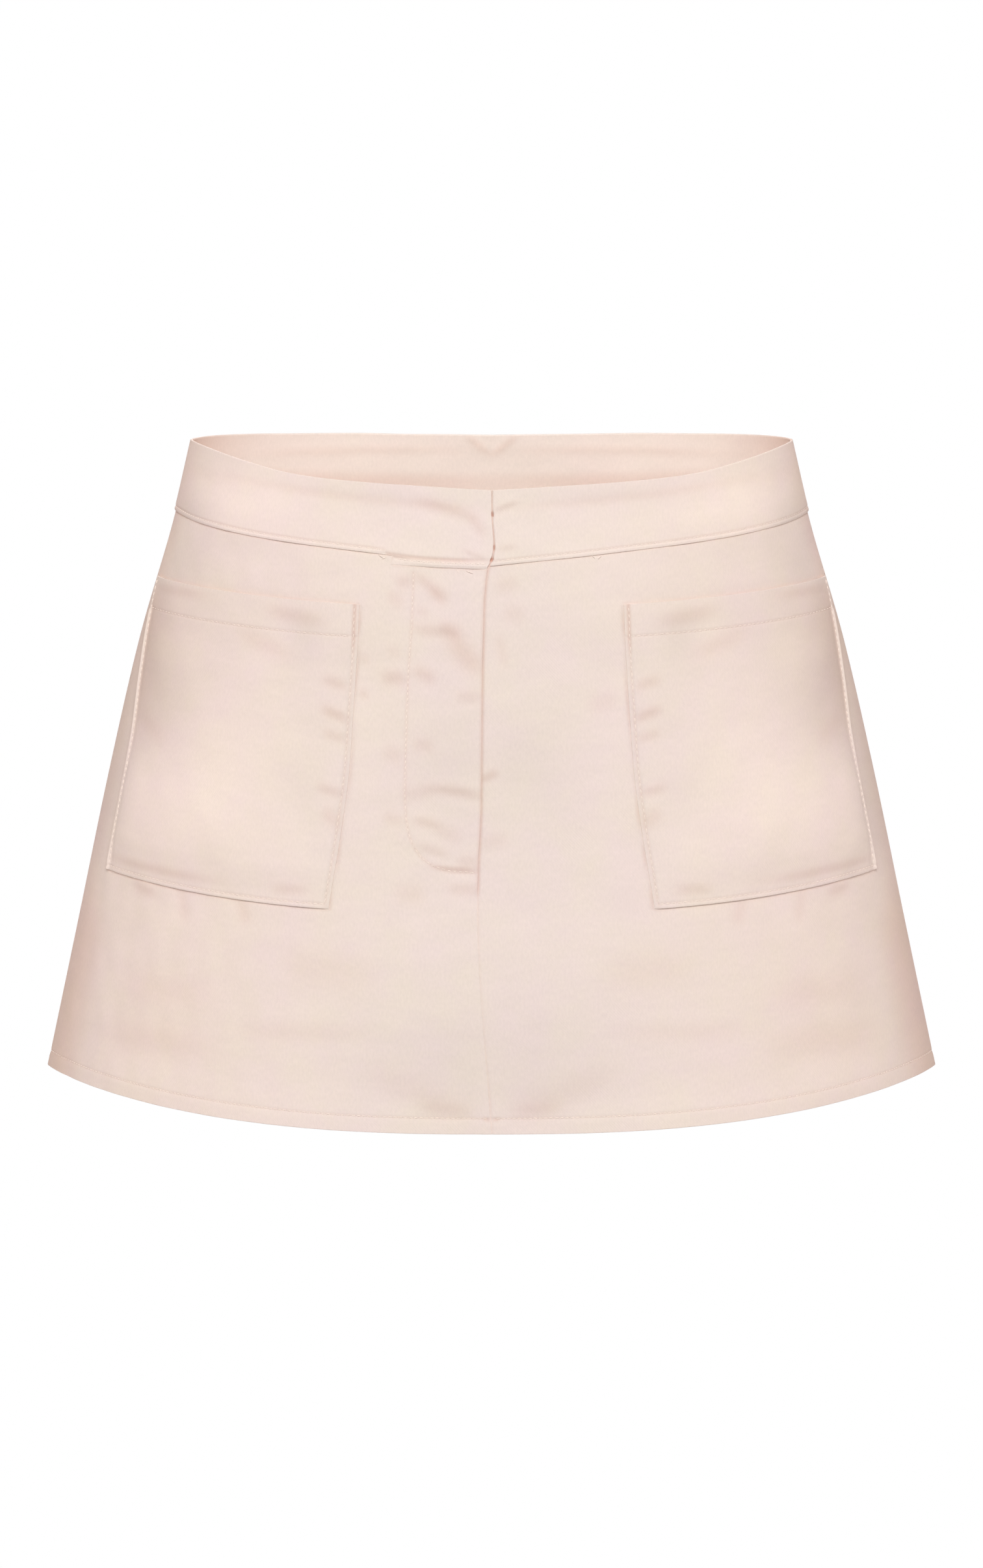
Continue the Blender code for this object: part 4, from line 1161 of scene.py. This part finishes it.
def at_lap(across, drop):
    """1 where the right end laps deeper, and distance below its sewn groove."""
    return (1 - step(-across, LAP_ACROSS + 2.8, LAP_ACROSS + 4.4),
            drop - curve(LAP_GROOVE, 1, np.abs(across)))


def band_relief(across, drop, seam, side):
    """How far the front band's outer skin stands off the form."""
    to_side = front_half(drop) - np.abs(across)
    above = seam - drop
    free = step(above, 3.0, 8.0) * step(drop, 8.0, 18.0) * step(to_side, 2.0, 20.0)
    relief = BAND_PROUD + free * uneven(across, drop, 31, 0.03)
    relief = relief + creased(across, drop, BAND_CREASES[side]) * step(to_side, 2.0, 20.0)
    if side > 0:
        return relief + edge_stitch(above, across)
    lap, groove = at_lap(across, drop)
    joined = step(-across, LAP_ACROSS + 3.0, LAP_ACROSS + 11.0)
    relief = relief + joined * edge_stitch(above, across)
    depth = 0.56 - 0.2 * step(np.abs(across), 14, 2)
    relief = relief - (1 - joined) * depth * near(groove + 0.3, 1.0)
    relief = relief + lap * stitched(groove - 1.2, 0.16, 0.5)
    strip = lap * step(groove, -0.2, 0.8)
    relief = relief + strip * lap_part(across) * (0.22 * near(above - 1.4, 1.2)
                                                  - 0.46 * near(above, 1.0))
    return relief - strip * (1 - lap_part(across)) * (BAND_PROUD - 0.02)


# Painted shade on a front band: in its creases, towards its side end, along its row of stitches
# and in the lap's groove.
def band_painted_shade(across, drop, seam, side):
    above = seam - drop
    warm = crease_shade(across, drop, BAND_CREASES[side])
    warm = warm + 0.35 * step(np.abs(across) / front_half(drop), 0.86, 0.99)
    row = 0.25 * near(above - BAND_STITCH - 0.5, 0.7)
    if side > 0:
        return warm + row
    lap, groove = at_lap(across, drop)
    fading = step(np.abs(across), 2.0, 16.0)
    return warm + (1 - lap) * row + lap * (0.2 + 0.6 * fading) * near(groove + 0.3, 1.1)


def front_band(name, side):
    """Lay out one front of the band; the left one runs on under the right one's end."""
    fine = ((0.0, 0.13), (BAND_UNDERLAP, 0.13), (BAND_UNDERLAP + 3, 0.6),
            (BAND_HALF, 0.15))
    lap_end = (LAP_ACROSS + 1.4, 0.2)
    columns = ticks(BAND_HALF, 0.98,
                    fine if side > 0 else (fine[0], lap_end, fine[3])) / BAND_HALF
    levels = ticks(1.0, 0.030, ((0.0, 0.004), (1.0, 0.008), (0.94, 0.012)))[:, None]
    foot = np.linspace(0.0, 1.0, 17)[1:, None]
    share = columns if side < 0 else np.clip(columns - BAND_UNDERLAP / BAND_HALF, 0, 1)
    top = curve(WAIST_FRONT, 1, share)
    seam = front_seam(share, side < 0)
    above_foot = curve(SEAM_FRONT, 1, share) - BAND_FOOT
    drops = np.concatenate((top + (above_foot - top) * levels,
                            above_foot + (seam - above_foot) * foot))
    gap = curve(CLOSURE, 1, drops) / 2
    start = gap if side < 0 else -BAND_UNDERLAP
    line = front_line(drops)
    width = front_half(drops) - side * line - start
    across = line + side * (start + width * columns)
    seam = np.broadcast_to(seam, drops.shape)
    relief = band_relief(across, drops, seam, side)
    painted_shade = band_painted_shade(across, drops, seam, side)
    wall = BAND_WALL - 0.40 * (1 - step(seam - drops, 0.5, 2.5))
    if side > 0:
        under = 1 - step(across - line - gap, 0.0, 0.5)
        pits = sum(near(drops - pit, 1.0) for pit in CLOSURE_PITS)
        relief = relief - (1.40 + 0.5 * pits) * under
        wall = wall - (wall - UNDERLAP_WALL) * under
        # Painted shade in the closure's gap: the underlap's colour is darkened there, most of all
        # at its pits.
        painted_shade = painted_shade * (1 - under) + under * (0.5 + 3.6 * pits)
    else:
        groove = at_lap(across, drops)[1]
        sunk = 0.62 * step(groove, -0.4, 0.6) * (1 - lap_part(across))
        wall = np.minimum(wall, BAND_WALL - sunk)
    shares = across / front_half(drops)
    if side < 0:
        across, drops, shares, relief, painted_shade, wall = (
            g[:, ::-1] for g in (across, drops, shares, relief, painted_shade, wall))
    edges = (0.25, 0.45, 0.6, 0.33) if side < 0 else (0.3, 0.25, 0.6, 0.33)
    return panel(name, shares, drops, relief, edges, wall, across, TWILL, TWILL_INSIDE, painted_shade,
                 lift=painted_light_patches(across, drops, BAND_LIGHT_PATCHES))


for side, label in SIDES:
    band = front_band("waistband_front_" + label + "_cloth", side)
    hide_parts("waistband_front_" + label)
    start = LAP_ACROSS + 4.4 if side < 0 else 2.0
    row = np.linspace(start, BAND_HALF - 1.0, 420)
    share = row / front_half(43.0)
    seam = front_seam(share, side < 0)
    drop = seam - BAND_STITCH
    keep = row < front_half(drop) - 0.8
    row, drop, seam = row[keep], drop[keep], seam[keep]
    threads = [sewn("band_stitches_" + label, side * row / front_half(drop), drop,
                    band_relief(side * row, drop, seam, side), BAND_PITCH),
               loose_ends("loose_thread_ends_" + label, side)]
    if side < 0:
        row = -np.linspace(LAP_ACROSS - 2.5, 3.0, 90)
        drop = curve(LAP_GROOVE, 1, -row) + 1.2
        seam = front_seam(-row / front_half(drop), True)
        threads.append(sewn("lap_stitches", row / front_half(drop), drop,
                            band_relief(row, drop, seam, side), BAND_PITCH))


def back_band_relief(across, drop, seam):
    to_side = back_half(drop) - np.abs(across)
    above = seam - drop
    free = step(above, 3.0, 8.0) * step(to_side, 2.0, 20.0)
    return (BAND_PROUD + free * (uneven(across, drop, 33)
                                 + creased(across, drop, BAND_BACK_CREASES))
            + edge_stitch(above, across))


columns = 1 + ticks(2.0, 0.0078, ((0.0, 0.0008), (2.0, 0.0008)))
levels = ticks(1.0, 0.036, ((0.0, 0.004), (1.0, 0.004), (0.94, 0.013)))
top = curve(WAIST_BACK, 1, np.abs(2 - columns))
seam = back_seam(columns)
drops = top + (seam - top) * levels[:, None]
shares = np.broadcast_to(columns, drops.shape)
across = (shares - 2) * back_half(drops)
to_side = back_half(drops) - np.abs(across)
# Painted shade on the band's inside at the back: darker towards its sides, darker below a line
# that rises towards the sides, and in its creases.
deep = step(drops - 28.0 + 20.0 * (2 - shares)**2, 0.0, 8.0)
band = panel("waistband_back_cloth", shares, drops,
             back_band_relief(across, drops, np.broadcast_to(seam, drops.shape)),
             (0.25, 0.25, 0.6, 0.6), BAND_WALL, across, TWILL, TWILL_INSIDE,
             inside_painted_shade=(1.3 * near(to_side, 42.0) + (0.8 - 0.3 * near(across, 30.0)) * deep
                            + crease_shade(across, drops, BAND_BACK_CREASES)))
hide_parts("waistband_back")
row = np.linspace(1.004, 2.996, 800)
drop = back_seam(row) - BAND_STITCH
thread = sewn("band_stitches_back", row, drop,
              back_band_relief((row - 2) * back_half(drop), drop, back_seam(row)), BAND_PITCH)

# ------------ fly facing and zip
# Behind the folded edge lies a facing of the same twill, wrong side out. The zip's two woven
# tapes carry a nylon coil, sewn in rows of loops that hook into each other.

FACING_EDGE = 0.190     # share of its free edge
FACING_TOP = 58.0
FACING_TURN = 188.0     # drop where its free edge begins to curve in
FACING_BASE = 203.0
FACING_DEPTH = 1.95
FACING_WALL = 0.6
ZIP_TOP = 72.0
ZIP_BASE = 198.0
ZIP_HALF_TAPE = 13.0
ZIP_HALF_CHAIN = 3.0
ZIP_DEPTH = 4.6
TAPE_WALL = 0.55
COIL_PITCH = 1.4
COIL_WIRE = 0.85

levels = np.linspace(FACING_TOP, FACING_BASE, 90)[:, None]
turn = np.clip((levels - FACING_TURN) / (FACING_BASE - FACING_TURN), 0, 1)
edge = -FACING_EDGE * (1 - 0.5 * turn**2)
fold = front_line(levels) / front_half(levels) - 0.004
shares = edge + (fold - edge) * np.linspace(0, 1, 24)
drops = np.broadcast_to(levels, shares.shape)
facing = panel("fly_facing_cloth", shares, drops, np.full(shares.shape, -FACING_DEPTH),
               (0.25, 0.25, 0.25, 0.25), FACING_WALL, shares * front_half(drops),
               TWILL_INSIDE, TWILL_INSIDE)
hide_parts("fly_facing")

TAPE = twill("zip_tape_weave", (0.850, 0.720, 0.640), (0.846, 0.705, 0.630), 1.6)
for label, low, high in (("right", -ZIP_HALF_TAPE, -ZIP_HALF_CHAIN),
                         ("left", ZIP_HALF_CHAIN, ZIP_HALF_TAPE)):
    levels = np.linspace(ZIP_TOP, ZIP_BASE, 64)[:, None]
    across = front_line(levels) + low + (high - low) * np.linspace(0, 1, 8)
    drops = np.broadcast_to(levels, across.shape)
    tape = panel("zip_tape_" + label + "_cloth", across / front_half(drops), drops,
                 np.full(across.shape, -ZIP_DEPTH), (0.2, 0.2, 0.2, 0.2), TAPE_WALL,
                 across, TAPE, TAPE)
    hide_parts("zip_tape_" + label)

NYLON = speckled("zip_nylon", 600.0, 2.0, (0.80, 0.68, 0.61), (0.86, 0.74, 0.66), 0.42)[0]
drop = np.arange(ZIP_TOP + 1.0, ZIP_BASE - 0.5, COIL_PITCH / 2)
side = np.where(np.arange(len(drop)) % 2 == 0, -1.0, 1.0)
ends = []
for reach in (ZIP_HALF_CHAIN + 0.6, -0.7):
    points, outward = place_on(SKIRT_FORM, (front_line(drop) + side * reach) / front_half(drop),
                               drop)
    ends.append(points - outward * (ZIP_DEPTH + 0.15))
coil = bars("zip_chain_coil", ends[0], ends[1], outward, COIL_WIRE, 0.25, (NYLON,))
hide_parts("zip_chain")

# ------------ slider, hooks and eyes
# The zip's slider and pull are cast and the two hooks and eyes are bent from wire, all
# nickel-plated, with fine rubbing marks.

NICKEL, tree, shader, rubbed = speckled("nickel_plate", 700.0, 4.0, (0.60, 0.585, 0.565),
                                        (0.70, 0.685, 0.665))
shader.inputs["Metallic"].default_value = 1.0
feed(tree, shader.inputs["Roughness"],
     node(tree, "MapRange", rubbed, To_Min=0.18, To_Max=0.42))
feed(tree, shader.inputs["Normal"],
     node(tree, "Bump", Strength=0.12, Distance=0.00005, Height=rubbed))
for name in ("zip_slider", "zip_pull", "hook_upper", "hook_lower", "eye_upper", "eye_lower"):
    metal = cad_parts[name]
    for k in range(len(metal.material_slots)):
        metal.material_slots[k].material = NICKEL
